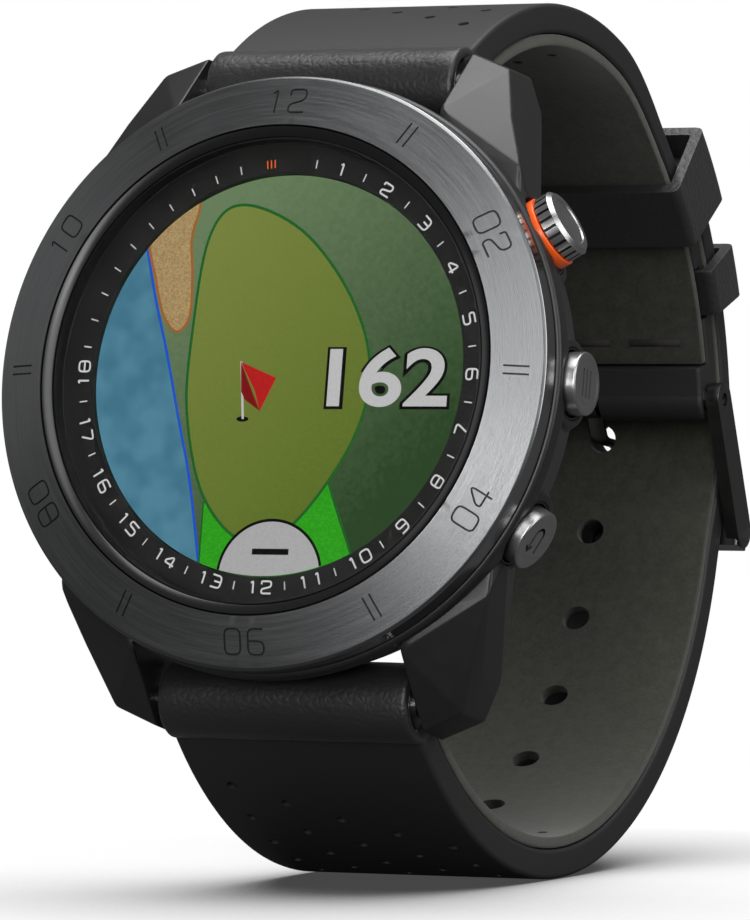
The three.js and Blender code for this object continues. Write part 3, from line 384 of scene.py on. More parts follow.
def block(name: str, low: Sequence[float], high: Sequence[float], edge: float = 0, segments: int = 2) -> Piece:
    """A box between two corners, with its edges rounded by `edge`.

    Args:
        name: The piece's name.
        low: Its lowest corner.
        high: Its highest corner.
        edge: Width of its rounded edges.
        segments: Steps in them.

    Returns:
        The box.
    """
    middle = [(a + b) / 2 * MM for a, b in zip(low, high)]
    size = [(b - a) * MM for a, b in zip(low, high)]
    take()
    bpy.ops.mesh.primitive_cube_add(size=1, location=middle)
    bpy.context.object.scale = size
    piece = called(name)
    return bevel(piece, edge, segments) if edge else piece


def drawn(curve: bpy.types.Curve, lines: Sequence[tuple[bool, Outline]]) -> Piece:
    """Draws lines on a curve, each with whether it is closed, and turns the curve into a mesh.

    Args:
        curve: The curve, with its thickness set.
        lines: Pairs of whether a line is closed, and its points.

    Returns:
        The mesh piece.
    """
    for closed, points in lines:
        spline = curve.splines.new("POLY")
        spline.points.add(len(points) - 1)
        for point, (x, y) in zip(spline.points, points):
            point.co = (x * MM, y * MM, 0, 1)
        spline.use_cyclic_u = closed
    piece = bpy.data.objects.new(curve.name, curve)
    bpy.context.scene.collection.objects.link(piece)
    take(piece)
    bpy.ops.object.convert(target="MESH")
    return bpy.context.object


def stroke(name: str, lines: Sequence[tuple[bool, Outline]], width: float, thickness: float) -> Piece:
    """Flat strokes along lines: a round cord along each line, pressed flat.

    Args:
        name: The piece's name.
        lines: Pairs of whether a line is closed, and its points.
        width: Width of a stroke.
        thickness: Its thickness, half of it on each side of the drawing plane.

    Returns:
        One mesh with every stroke.
    """
    curve = bpy.data.curves.new(name, "CURVE")
    curve.dimensions = "3D"
    curve.bevel_depth = width / 2 * MM
    curve.bevel_resolution = 1
    curve.use_fill_caps = True
    piece = drawn(curve, lines)
    piece.scale = (1, 1, thickness / width)
    return called(name)


def plate(name: str, outline: Outline, low: float, high: float) -> Piece:
    """A flat plate with a free outline, between two heights.

    Args:
        name: The piece's name.
        outline: Its outline.
        low: Height of its back.
        high: Height of its front.

    Returns:
        The plate.
    """
    curve = bpy.data.curves.new(name, "CURVE")
    curve.dimensions = "2D"
    curve.fill_mode = "BOTH"
    curve.extrude = (high - low) / 2 * MM
    piece = drawn(curve, [(True, outline)])
    piece.location.z = (low + high) / 2 * MM
    return face_out(called(name))


# ---- Squared figures -----------------------------------------------------------------------------------

SQUARE = [(-1, -1), (1, -1), (1, 1), (-1, 1)]
FIGURES: dict[str, list[tuple[bool, Outline]]] = {
    "0": [(True, SQUARE)],
    "1": [(False, [(-0.25, 0.7), (0.25, 1), (0.25, -1)])],
    "2": [(False, [(-1, 0.5), (-1, 1), (1, 1), (1, 0.1), (-1, -0.3), (-1, -1), (1, -1)])],
    "3": [(False, [(-1, 1), (1, 1), (1, -1), (-1, -1)]), (False, [(-0.4, 0), (1, 0)])],
    "4": [(False, [(0.5, -1), (0.5, 1), (-1, -0.1), (-1, -0.5), (1, -0.5)])],
    "5": [(False, [(1, 1), (-1, 1), (-1, 0.15), (1, 0.15), (1, -1), (-1, -1)])],
    "6": [(False, [(0.9, 1), (-1, 1), (-1, -1), (1, -1), (1, 0.05), (-1, 0.05)])],
    "7": [(False, [(-1, 1), (1, 1), (-0.1, -1)])],
    "8": [(True, SQUARE), (False, [(-1, 0), (1, 0)])],
    "9": [(False, [(-0.9, -1), (1, -1), (1, 1), (-1, 1), (-1, -0.05), (1, -0.05)])],
}


@dataclass(frozen=True)
class FigureStyle:
    """Size of squared figures."""

    height: float
    width: float
    gap: float
    line: float

    def write(self, name: str, text: str, thickness: float) -> Piece:
        """Writes a number, centred on the origin, as flat strokes.

        Args:
            name: The piece's name.
            text: The figures.
            thickness: How thick the strokes are.

        Returns:
            The strokes as one mesh.
        """
        pitch = self.width + self.gap
        half_width, half_height = (self.width - self.line) / 2, (self.height - self.line) / 2
        lines = []
        for i, figure in enumerate(text):
            centre = (i - (len(text) - 1) / 2) * pitch
            for closed, points in FIGURES[figure]:
                scaled = [(centre + x * half_width, y * half_height) for x, y in points]
                lines.append((closed, rounded(scaled, 0.3 * self.width, closed)))
        return stroke(name, lines, self.line, thickness)


def round_the_dial(hour_angle: float, radius: float, height: float, upright: bool = True) -> Matrix:
    """Where a mark goes on a ring, in the dial's flat frame.

    Args:
        hour_angle: Degrees clockwise from twelve o'clock.
        radius: Distance from the dial's centre.
        height: Height above the case back.
        upright: Turns marks on the lower half so that they read from inside the ring.

    Returns:
        The mark's matrix, in metres.
    """
    turn = math.radians(hour_angle)
    flip = math.pi if upright and 90 < hour_angle < 270 else 0
    spot = Vector((radius * math.sin(turn), radius * math.cos(turn), height)) * MM
    return Matrix.Translation(spot) @ Matrix.Rotation(flip - turn, 4, "Z")


# ---- Finishes ------------------------------------------------------------------------------------------


class Surface(Enum):
    """Fine surface patterns that finishes share, each a node group."""

    MOULDED = "moulded_grain"
    LEATHER = "leather_grain"
    SUEDE = "suede_nap"
    SPUN = "spun_rings"
    BRUSHED = "straight_brushing"
    SPECKLED = "speckle"
    FADED = "slanting_fade"


class NodeSheet:
    """Adds nodes to one node tree and wires them as they are added."""

    def __init__(self, tree: bpy.types.NodeTree) -> None:
        """Takes the tree that nodes are added to."""
        self.tree = tree

    def add(
        self, kind: str, inputs: dict[str | int, object] | None = None, **settings: object
    ) -> bpy.types.Node:
        """Adds a node.

        Args:
            kind: The node's type.
            inputs: Input names or numbers, with the value or the output socket that each takes.
            settings: The node's own properties.

        Returns:
            The new node.
        """
        node = self.tree.nodes.new(kind)
        for key, value in settings.items():
            setattr(node, key, value)
        for key, value in (inputs or {}).items():
            if isinstance(value, bpy.types.NodeSocket):
                self.tree.links.new(value, node.inputs[key])
            else:
                node.inputs[key].default_value = value
        return node

    def math(self, operation: str, a: object, b: object = 0.0) -> bpy.types.NodeSocket:
        """A math node's result."""
        return self.add("ShaderNodeMath", {0: a, 1: b}, operation=operation).outputs[0]

    def noise(
        self, vector: object, scale: object, detail: float = 2, rough: float = 0.5
    ) -> bpy.types.NodeSocket:
        """A noise texture's value."""
        inputs = {"Vector": vector, "Scale": scale, "Detail": detail, "Roughness": rough}
        return self.add("ShaderNodeTexNoise", inputs).outputs["Fac"]


def group_shell(surface: Surface) -> tuple[bpy.types.NodeTree, NodeSheet, dict[str, bpy.types.NodeSocket]]:
    """Starts a pattern group with the sockets that every pattern has.

    Args:
        surface: The pattern.

    Returns:
        The tree, its sheet, and its inputs by name.
    """
    tree = bpy.data.node_groups.new(surface.value, "ShaderNodeTree")
    tree.interface.new_socket("Vector", in_out="INPUT", socket_type="NodeSocketVector")
    for name in ("Frequency", "Stretch"):
        tree.interface.new_socket(name, in_out="INPUT", socket_type="NodeSocketFloat")
    for name in ("Height", "Tint"):
        tree.interface.new_socket(name, in_out="OUTPUT", socket_type="NodeSocketFloat")
    sheet = NodeSheet(tree)
    inlet = sheet.add("NodeGroupInput")
    return tree, sheet, {name: inlet.outputs[name] for name in ("Vector", "Frequency", "Stretch")}


def build_pattern(surface: Surface) -> bpy.types.NodeTree:
    """Builds one pattern's node group.

    Args:
        surface: The pattern.

    Returns:
        Its tree, which gives a height and a slow tint, both from 0 to 1.
    """
    tree, sheet, inlet = group_shell(surface)
    vector, frequency, stretch = inlet["Vector"], inlet["Frequency"], inlet["Stretch"]
    slow = sheet.math("MULTIPLY", frequency, 0.08)
    if surface is Surface.MOULDED:
        height = sheet.noise(vector, frequency, 3, 0.6)
        tint = sheet.noise(vector, slow, 2)
    elif surface is Surface.LEATHER:
        warp = sheet.noise(vector, sheet.math("MULTIPLY", frequency, 0.6), 2)
        push = sheet.add("ShaderNodeCombineXYZ", {0: sheet.math("DIVIDE", warp, frequency)}).outputs[0]
        shifted = sheet.add("ShaderNodeVectorMath", {0: vector, 1: push}, operation="ADD").outputs[0]
        cells = sheet.add(
            "ShaderNodeTexVoronoi", {"Vector": shifted, "Scale": frequency}, feature="DISTANCE_TO_EDGE"
        ).outputs["Distance"]
        pebbles = sheet.add("ShaderNodeMapRange", {0: cells, 2: 0.32, 3: 0.0, 4: 1.0}).outputs[0]
        wrinkles = sheet.noise(
            sheet.add(
                "ShaderNodeVectorMath",
                {0: vector, 1: sheet.add("ShaderNodeCombineXYZ", {0: 1.0, 1: stretch, 2: stretch}).outputs[0]},
                operation="MULTIPLY",
            ).outputs[0],
            sheet.math("MULTIPLY", frequency, 0.3),
            4,
            0.6,
        )
        height = sheet.math("ADD", sheet.math("MULTIPLY", pebbles, 0.55), sheet.math("MULTIPLY", wrinkles, 0.9))
        tint = sheet.noise(vector, slow, 3)
    elif surface is Surface.SUEDE:
        fibres = sheet.noise(vector, frequency, 6, 0.75)
        tufts = sheet.noise(vector, sheet.math("MULTIPLY", frequency, 0.3), 3, 0.6)
        height = sheet.math("ADD", sheet.math("MULTIPLY", fibres, 0.6), sheet.math("MULTIPLY", tufts, 0.4))
        tint = sheet.add("ShaderNodeMapRange", {0: height, 1: 0.38, 2: 0.62}).outputs[0]
    elif surface is Surface.SPUN:
        parts = sheet.add("ShaderNodeSeparateXYZ", {0: vector}).outputs
        flat = sheet.add("ShaderNodeCombineXYZ", {0: parts[0], 1: parts[1]}).outputs[0]
        radius = sheet.add("ShaderNodeVectorMath", {0: flat}, operation="LENGTH").outputs["Value"]
        bearing = sheet.add("ShaderNodeVectorMath", {0: flat}, operation="NORMALIZE").outputs[0]
        across = sheet.add(
            "ShaderNodeVectorMath", {0: bearing, "Scale": stretch}, operation="SCALE"
        ).outputs[0]
        rings = sheet.add("ShaderNodeCombineXYZ", {2: sheet.math("MULTIPLY", radius, frequency)}).outputs[0]
        path = sheet.add("ShaderNodeVectorMath", {0: across, 1: rings}, operation="ADD").outputs[0]
        height = sheet.noise(path, 1.0, 3, 0.7)
        tint = sheet.noise(path, 0.35, 2)
    elif surface is Surface.BRUSHED:
        line = sheet.add("ShaderNodeCombineXYZ", {0: stretch, 1: 1.0, 2: 1.0}).outputs[0]
        path = sheet.add("ShaderNodeVectorMath", {0: vector, 1: line}, operation="MULTIPLY").outputs[0]
        height = sheet.noise(path, frequency, 3, 0.7)
        tint = sheet.noise(path, slow, 2)
    elif surface is Surface.FADED:
        parts = sheet.add("ShaderNodeSeparateXYZ", {0: vector}).outputs
        slant = sheet.math("MULTIPLY", sheet.math("SUBTRACT", parts[0], parts[1]), stretch)
        height = sheet.noise(vector, frequency, 2, 0.5)
        speckled = sheet.math("MULTIPLY", height, 0.35)
        fade = sheet.math("ADD", slant, speckled)
        tint = sheet.add("ShaderNodeMapRange", {0: fade, 1: -0.32, 2: 0.68}).outputs[0]
    else:
        height = sheet.noise(vector, frequency, 1, 0.5)
        tint = sheet.add("ShaderNodeMapRange", {0: height, 1: 0.35, 2: 0.65}).outputs[0]
    sheet.add("NodeGroupOutput", {"Height": height, "Tint": tint})
    return tree


@dataclass(frozen=True)
class Finish:
    """A surface finish: its colours, its gloss and its fine pattern."""

    name: str
    slot: str
    colour: tuple[float, float, float]
    shade: tuple[float, float, float]
    roughness: float
    surface: Surface = Surface.MOULDED
    frequency: float = 4000
    stretch: float = 1
    relief: float = 0.01
    strength: float = 0.3
    metallic: float = 0.0
    roughness_swing: float = 0.05
    coat: float = 0.0
    sheen: float = 0.0
    specular: float = 0.5
    glow: float = 0.0

    def material(self, place_of_pattern: Matrix | None = None) -> bpy.types.Material:
        """Builds the material, or finds it if it exists.

        Args:
            place_of_pattern: Where the pattern's own origin and axis lie, for turned and brushed surfaces.

        Returns:
            The material.
        """
        title = self.name
        if place_of_pattern is not None:
            title += "_" + "_".join(f"{round(v / MM)}" for v in place_of_pattern.translation)
            title += f"_{round(math.degrees(place_of_pattern.to_euler().y))}"
        if title in bpy.data.materials:
            return bpy.data.materials[title]
        material = bpy.data.materials.new(title)
        material.use_nodes = True
        material.node_tree.nodes.clear()
        sheet = NodeSheet(material.node_tree)
        vector = sheet.add("ShaderNodeTexCoord").outputs["Object"]
        if place_of_pattern is not None:
            inputs = {
                "Vector": vector,
                "Location": place_of_pattern.to_translation(),
                "Rotation": place_of_pattern.to_euler(),
            }
            vector = sheet.add("ShaderNodeMapping", inputs, vector_type="TEXTURE").outputs[0]
        tree = bpy.data.node_groups.get(self.surface.value) or build_pattern(self.surface)
        pattern = sheet.add("ShaderNodeGroup", node_tree=tree)
        sheet.tree.links.new(vector, pattern.inputs["Vector"])
        pattern.inputs["Frequency"].default_value = self.frequency
        pattern.inputs["Stretch"].default_value = self.stretch
        tint = pattern.outputs["Tint"]
        colour = sheet.add(
            "ShaderNodeMix", {0: tint, 6: (*self.colour, 1), 7: (*self.shade, 1)}, data_type="RGBA"
        ).outputs[2]
        low, high = self.roughness - self.roughness_swing, self.roughness + self.roughness_swing
        gloss = sheet.add("ShaderNodeMapRange", {0: tint, 3: max(low, 0.02), 4: high}).outputs[0]
        bump = sheet.add(
            "ShaderNodeBump",
            {"Strength": self.strength, "Distance": self.relief * MM, "Height": pattern.outputs["Height"]},
        ).outputs[0]
        shader_inputs: dict[str | int, object] = {
            "Base Color": colour,
            "Roughness": gloss,
            "Metallic": self.metallic,
            "Normal": bump,
            "Coat Weight": self.coat,
            "Coat Roughness": 0.08,
            "Sheen Weight": self.sheen,
            "Specular IOR Level": self.specular,
        }
        # Glowing finishes light themselves: the display's backlit picture, and painted light on the printed
        # figures of the number ring.
        if self.glow:
            shader_inputs |= {
                "Base Color": (0, 0, 0, 1),
                "Emission Color": colour,
                "Emission Strength": self.glow,
            }
        shader = sheet.add("ShaderNodeBsdfPrincipled", shader_inputs).outputs[0]
        sheet.add("ShaderNodeOutputMaterial", {"Surface": shader})
        return material


def grey(value: float, warmth: float = 0.0) -> tuple[float, float, float]:
    """A grey, made slightly warm or, below zero, cool."""
    return (value * (1 + warmth), value, value * (1 - warmth))


CASE_BLACK = Finish("case_black", "case_polymer", grey(0.013), grey(0.018), 0.36, frequency=9000, relief=0.006)
BEZEL_BRUSHED = Finish(
    "bezel_brushed", "bezel_metal", grey(0.15, -0.02), grey(0.22, -0.02), 0.36, Surface.SPUN, 16000, 11,
    0.02, 0.55, metallic=1.0, roughness_swing=0.09,
)
BEZEL_EDGE = Finish("bezel_edge", "bezel_metal", grey(0.3), grey(0.34), 0.2, metallic=1.0, strength=0.05)
# Near-black fill of the engraved hours and cap marks; on the knurled head the same finish is painted shade in
# the grooves.
ENGRAVING_FILL_AND_GROOVE_SHADE = Finish("engraving_black_and_groove_shade", "black_metal", grey(0.003), grey(0.006), 0.55)
GLOSS_BLACK = Finish("gloss_black", "gloss_black", grey(0.004), grey(0.006), 0.1, strength=0.02, coat=0.6)
RING_BLACK = Finish("ring_black", "black_plastic", grey(0.003), grey(0.005), 0.45, strength=0.1)
# The white print glows: painted light that keeps the printed figures bright whatever the lamps do.
WHITE_PRINT_PAINTED_LIGHT = Finish("white_print_painted_light", "white_plastic", grey(0.5), grey(0.6), 0.6, strength=0.05, glow=1.0)
# The orange print glows too: painted light on the printed index.
ORANGE_PRINT_PAINTED_LIGHT = Finish(
    "orange_print_painted_light", "orange_ring", (0.8, 0.13, 0.02), (0.9, 0.16, 0.03), 0.5, strength=0.05, glow=0.8
)
BUTTON_METAL = Finish(
    "button_metal", "button_metal", grey(0.42), grey(0.55), 0.3, Surface.SPUN, 16000, 3, 0.02, 0.5,
    metallic=1.0,
)
KNURL_METAL = Finish("knurl_metal", "button_metal", grey(0.24), grey(0.3), 0.3, metallic=1.0, strength=0.15)
SLEEVE_METAL = Finish("sleeve_metal", "black_metal", grey(0.05), grey(0.07), 0.32, metallic=1.0, strength=0.1)
ORANGE = Finish(
    "orange_enamel", "orange_ring", (0.95, 0.11, 0.008), (1.0, 0.13, 0.01), 0.32, strength=0.08, coat=0.3
)
LEATHER = Finish(
    "strap_leather", "strap_leather", grey(0.017), grey(0.022), 0.42, Surface.LEATHER, 2200, 4, 0.02, 0.28,
    roughness_swing=0.06, sheen=0.05,
)
ROLLED_LEATHER = Finish(
    "rolled_leather", "strap_leather", grey(0.015), grey(0.02), 0.4, Surface.LEATHER, 1500, 5, 0.06, 0.5,
    roughness_swing=0.07, sheen=0.05,
)
LINING = Finish(
    "suede_lining", "strap_lining", (0.034, 0.034, 0.026), (0.058, 0.058, 0.046), 0.86, Surface.SUEDE, 3200, 1,
    0.06, 0.7, roughness_swing=0.05, sheen=0.25, specular=0.2,
)
THREAD = Finish("stitch_thread", "strap_lining", grey(0.02, 0.08), grey(0.035, 0.08), 0.8, Surface.SUEDE, 9000)
BUCKLE_METAL = Finish(
    "buckle_metal", "black_metal", grey(0.1), grey(0.13), 0.3, Surface.BRUSHED, 9000, 0.06, 0.008, 0.25,
    metallic=1.0, coat=0.15,
)
STEEL = Finish(
    "brushed_steel", "steel", grey(0.42), grey(0.5), 0.28, Surface.BRUSHED, 8000, 0.05, 0.008, 0.2, metallic=1.0
)
GOLD = Finish("contact_gold", "gold", (0.8, 0.55, 0.22), (0.85, 0.6, 0.26), 0.25, strength=0.1, metallic=1.0)
RUBBER = Finish("seal_rubber", "rubber", grey(0.012), grey(0.018), 0.7, strength=0.2)
BLACK_PLASTIC = Finish("black_plastic", "black_plastic", grey(0.012), grey(0.016), 0.5, frequency=6000)
WHITE_PLASTIC = Finish("white_plastic", "white_plastic", grey(0.7), grey(0.76), 0.5, strength=0.1)
CIRCUIT = Finish("circuit_green", "circuit_board", (0.01, 0.06, 0.03), (0.015, 0.08, 0.04), 0.4, strength=0.15)
CERAMIC = Finish("antenna_ceramic", "ceramic", (0.48, 0.4, 0.28), (0.55, 0.46, 0.33), 0.6, strength=0.2)
FOIL = Finish("battery_foil", "battery_foil", grey(0.4), grey(0.5), 0.4, frequency=1500, metallic=0.7)


def screen(
    name: str, colour: tuple, shade: tuple, surface: Surface = Surface.SPECKLED, frequency: float = 6000
) -> Finish:
    """A finish for one patch of the display's picture, which is lit from behind."""
    return Finish(
        name, "display", colour, shade, 0.5, surface, frequency, 28, strength=0.02, specular=0.1, glow=1.0
    )


SCREEN_ROUGH = screen("screen_rough", (0.13, 0.2, 0.1), (0.022, 0.055, 0.017), Surface.FADED, 2500)
SCREEN_GREEN = screen("screen_green", (0.18, 0.22, 0.048), (0.09, 0.14, 0.014), Surface.FADED, 4500)
SCREEN_GREEN_EDGE = screen("screen_green_edge", (0.012, 0.1, 0.018), (0.014, 0.12, 0.02))
SCREEN_SAND = screen("screen_sand", (0.42, 0.3, 0.14), (0.3, 0.2, 0.085), frequency=6500)
SCREEN_SAND_EDGE = screen("screen_sand_edge", (0.3, 0.11, 0.025), (0.32, 0.12, 0.03))
SCREEN_WATER = screen("screen_water", (0.05, 0.165, 0.24), (0.075, 0.215, 0.3), frequency=500)
SCREEN_WATER_EDGE = screen("screen_water_edge", (0.012, 0.075, 0.5), (0.015, 0.09, 0.55))
SCREEN_FAIRWAY = screen("screen_fairway", (0.02, 0.28, 0.008), (0.03, 0.35, 0.012))
SCREEN_RED = screen("screen_red", (0.4, 0.008, 0.008), (0.45, 0.012, 0.012))
SCREEN_DARK_RED = screen("screen_dark_red", (0.16, 0.004, 0.004), (0.2, 0.006, 0.006))
SCREEN_GREY = screen("screen_grey", grey(0.46), grey(0.5))
SCREEN_BUTTON = screen("screen_button", grey(0.36), grey(0.39))
SCREEN_BLACK = screen("screen_black", grey(0.003), grey(0.004))

SLOT_FINISHES: dict[str, Finish] = {
    finish.slot: finish
    for finish in (
        CASE_BLACK, BEZEL_EDGE, SLEEVE_METAL, GLOSS_BLACK, LEATHER, LINING, STEEL, GOLD, RUBBER, BLACK_PLASTIC,
        WHITE_PLASTIC, CIRCUIT, CERAMIC, FOIL, ORANGE, KNURL_METAL, SCREEN_ROUGH,
    )
}


def dress(
    piece: Piece,
    body: str,
    finish: Finish,
    *nodes: str,
    pattern: Matrix | None = None,
    also: Sequence[Finish] = (),
) -> Piece:
    """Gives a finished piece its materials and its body.

    Args:
        piece: The piece, in place.
        body: The body that it moves with.
        finish: The finish of its first material slot.
        nodes: The frame's nodes that it stands for.
        pattern: Where the finish's pattern is centred.
        also: Finishes of further material slots.

    Returns:
        The piece.
    """
    while len(piece.data.materials) < 1 + len(also):
        piece.data.materials.append(None)
    piece.data.materials[0] = finish.material(pattern)
    for i, other in enumerate(also, start=1):
        piece.data.materials[i] = other.material()
    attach(piece, body)
    if nodes:
        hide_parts(*nodes)
    LOG.info("%s rides on %s: %d faces", piece.name, body, len(piece.data.polygons))
    return piece


def set_faces(piece: Piece, number: int, test: Callable[[Vector, Vector], bool] | None = None) -> Piece:
    """Gives faces a material number where a test of their centre in millimetres and normal holds.

    Args:
        piece: The piece.
        number: The material number.
        test: The test; without one, every face is numbered.

    Returns:
        The piece.
    """
    for face in piece.data.polygons:
        if test is None or test(face.center / MM, face.normal):
            face.material_index = number
    return piece


def with_slots(piece: Piece, count: int) -> Piece:
    """Gives a piece empty material slots, so that cuts keep the numbers of their faces.

    Args:
        piece: The piece.
        count: How many slots it ends with.

    Returns:
        The piece.
    """
    while len(piece.data.materials) < count:
        piece.data.materials.append(BLACK_PLASTIC.material())
    return piece


# ---- Dial ----------------------------------------------------------------------------------------------


def outer_radius(node: str) -> float:
    """Radius of a round node of the dial."""
    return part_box(node)[1].x / MM


def front_of(node: str) -> float:
    """Height of a node's front above the case back."""
    return -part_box(node)[0].y / MM


def back_of(node: str) -> float:
    """Height of a node's back above the case back."""
    return -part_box(node)[1].y / MM


@dataclass
class Bezel:
    """The brushed conical bezel with engraved hours, and the polished slope inside it."""

    fit: float = 0.1
    fall: float = 1.1
    chamfer: float = 0.2
    engraving_depth: float = 0.1
    lip: float = 17.6
    lip_depth: float = 0.25
    lip_wall: float = 0.12
    segments: int = 288
    figures: FigureStyle = FigureStyle(height=2.05, width=1.5, gap=0.42, line=0.21)
    bar_length: float = 1.85
    bar_gap: float = 0.6
    bar_width: float = 0.2

    def __post_init__(self) -> None:
        """Reads the ring sizes from the frame."""
        self.outer = outer_radius("bezel_ring")
        self.cone_outer = self.outer - self.chamfer
        self.front = front_of("bezel_ring")
        self.back = back_of("bezel_ring")
        self.slope_outer = outer_radius("inner_bezel_ring")
        self.inner = self.slope_outer + self.fit
        self.glass_front = front_of("cover_glass")

    def surface(self, radius: float) -> float:
        """Height of the cone at a radius."""
        share = (radius - self.inner) / (self.cone_outer - self.inner)
        return self.front - self.fall * share

    def marks(self) -> Piece:
        """All engraved figures and double bars, sunk into the cone by the engraving's depth.

        Returns:
            The marks as one mesh.
        """
        middle = (self.inner + self.cone_outer) / 2
        thickness = 4 * self.engraving_depth
        pieces = []
        for hour in range(1, 13):
            if hour % 2:
                x, half = self.bar_gap / 2, self.bar_length / 2
                lines = [(False, [(side * x, -half), (side * x, half)]) for side in (-1, 1)]
                mark = stroke(f"hour_{hour}", lines, self.bar_width, thickness)
            else:
                mark = self.figures.write(f"hour_{hour}", f"{hour:02d}", thickness)
            pieces.append(place(mark, round_the_dial(hour * 30, middle, 0)))
        marks = join("hour_marks", pieces)
        rise = thickness / 2 - self.engraving_depth
        return remap(marks, lambda p: Vector((p.x, p.y, p.z + rise + self.surface(math.hypot(p.x, p.y)))))

    def build(self) -> None:
        """Makes the bezel and its polished inner slope."""
        outline = rounded(
            [
                (self.inner, self.front),
                (self.cone_outer, self.front - self.fall),
                (self.outer, self.front - self.fall - self.chamfer),
                (self.outer, self.back),
                (self.inner, self.back),
            ],
            0.06,
            steps=2,
        )
        bezel = with_slots(turned("bezel", outline, self.segments), 3)
        rim = self.front - self.fall - self.chamfer / 2
        set_faces(bezel, 1, lambda c, n: c.z < rim or math.hypot(c.x, c.y) < self.inner + 0.05)
        cutter = set_faces(with_slots(self.marks(), 3), 2)
        combine(bezel, cutter, crossing=True)
        place(smooth(bezel, 20), DIAL)
        dress(bezel, "watch", BEZEL_BRUSHED, "bezel_ring", pattern=DIAL, also=(BEZEL_EDGE, ENGRAVING_FILL_AND_GROOVE_SHADE))

        slope = turned(
            "polished_slope",
            rounded(
                [
                    (self.lip, self.glass_front),
                    (self.slope_outer, self.front),
                    (self.slope_outer, back_of("inner_bezel_ring")),
                    (self.lip + self.lip_wall, back_of("inner_bezel_ring")),
                    (self.lip + self.lip_wall, self.glass_front - self.lip_depth),
                    (self.lip, self.glass_front - self.lip_depth),
                ],
                0.07,
                steps=2,
            ),
            self.segments,
        )
        place(smooth(slope, 25), DIAL)
        dress(slope, "watch", GLOSS_BLACK, "inner_bezel_ring")
        top, bottom = front_of("glass_gasket"), back_of("glass_gasket")
        inner, outer = self.lip - 0.03, self.lip + 0.1
        gasket = turned("gasket", [(inner, top), (outer, top), (outer, bottom), (inner, bottom)], 96)
        place(smooth(gasket), DIAL)
        dress(gasket, "watch", RUBBER, "glass_gasket")


@dataclass
class NumberRing:
    """The black ring of hole numbers between the display and the bezel."""

    holes: int = 18
    pitch: float = 15.0
    figures: FigureStyle = FigureStyle(height=1.05, width=0.92, gap=0.27, line=0.14)
    tick_length: float = 0.62
    tick_width: float = 0.1
    print_thickness: float = 0.02
    thickness: float = 0.08
    display_gap: float = 0.1
    index_angle: float = 354.0
    index_pitch: float = 1.1
    segments: int = 144

    def build(self) -> None:
        """Makes the ring, its white figures and ticks, and a small orange index before twelve o'clock."""
        outer, display = outer_radius("hole_number_ring"), outer_radius("display_panel")
        back = back_of("hole_number_ring")
        front = back + self.thickness
        inner = display + self.display_gap
        ring = turned(
            "number_ring",
            rounded([(inner, back), (inner, front), (outer, front), (outer, back)], 0.05, steps=2),
            self.segments,
        )
        place(smooth(ring, 30), DIAL)
        dress(ring, "watch", RING_BLACK, "hole_number_ring")

        middle = (inner + outer_radius("cover_glass")) / 2 - 0.1
        height = front + self.print_thickness / 2
        prints = []
        for hole in range(1, self.holes + 1):
            angle = hole * self.pitch
            figure = self.figures.write(f"hole_{hole}", str(hole), self.print_thickness)
            prints.append(place(figure, round_the_dial(angle, middle, height)))
            prints.append(self.tick(angle - self.pitch / 2, middle, height))
        last = self.holes * self.pitch
        prints += [self.tick(last + self.pitch / 2 * step, middle, height) for step in range(1, 11)]
        # The figures and ticks glow as painted light; the ring's print is no lamp.
        dress(place(join("hole_numbers", prints), DIAL), "watch", WHITE_PRINT_PAINTED_LIGHT)
        # The orange index glows as painted light.
        index = [self.tick(self.index_angle + side * self.index_pitch, middle, height) for side in (-1, 0, 1)]
        dress(place(join("orange_index", index), DIAL), "watch", ORANGE_PRINT_PAINTED_LIGHT)

    def tick(self, angle: float, middle: float, height: float) -> Piece:
        """One radial tick.

        Args:
            angle: Degrees clockwise from twelve o'clock.
            middle: Radius of its middle.
            height: Its height.

        Returns:
            The tick.
        """
        half = self.tick_length / 2
        mark = stroke("tick", [(False, [(0, -half), (0, half)])], self.tick_width, self.print_thickness)
        return place(mark, round_the_dial(angle, middle, height, upright=False))


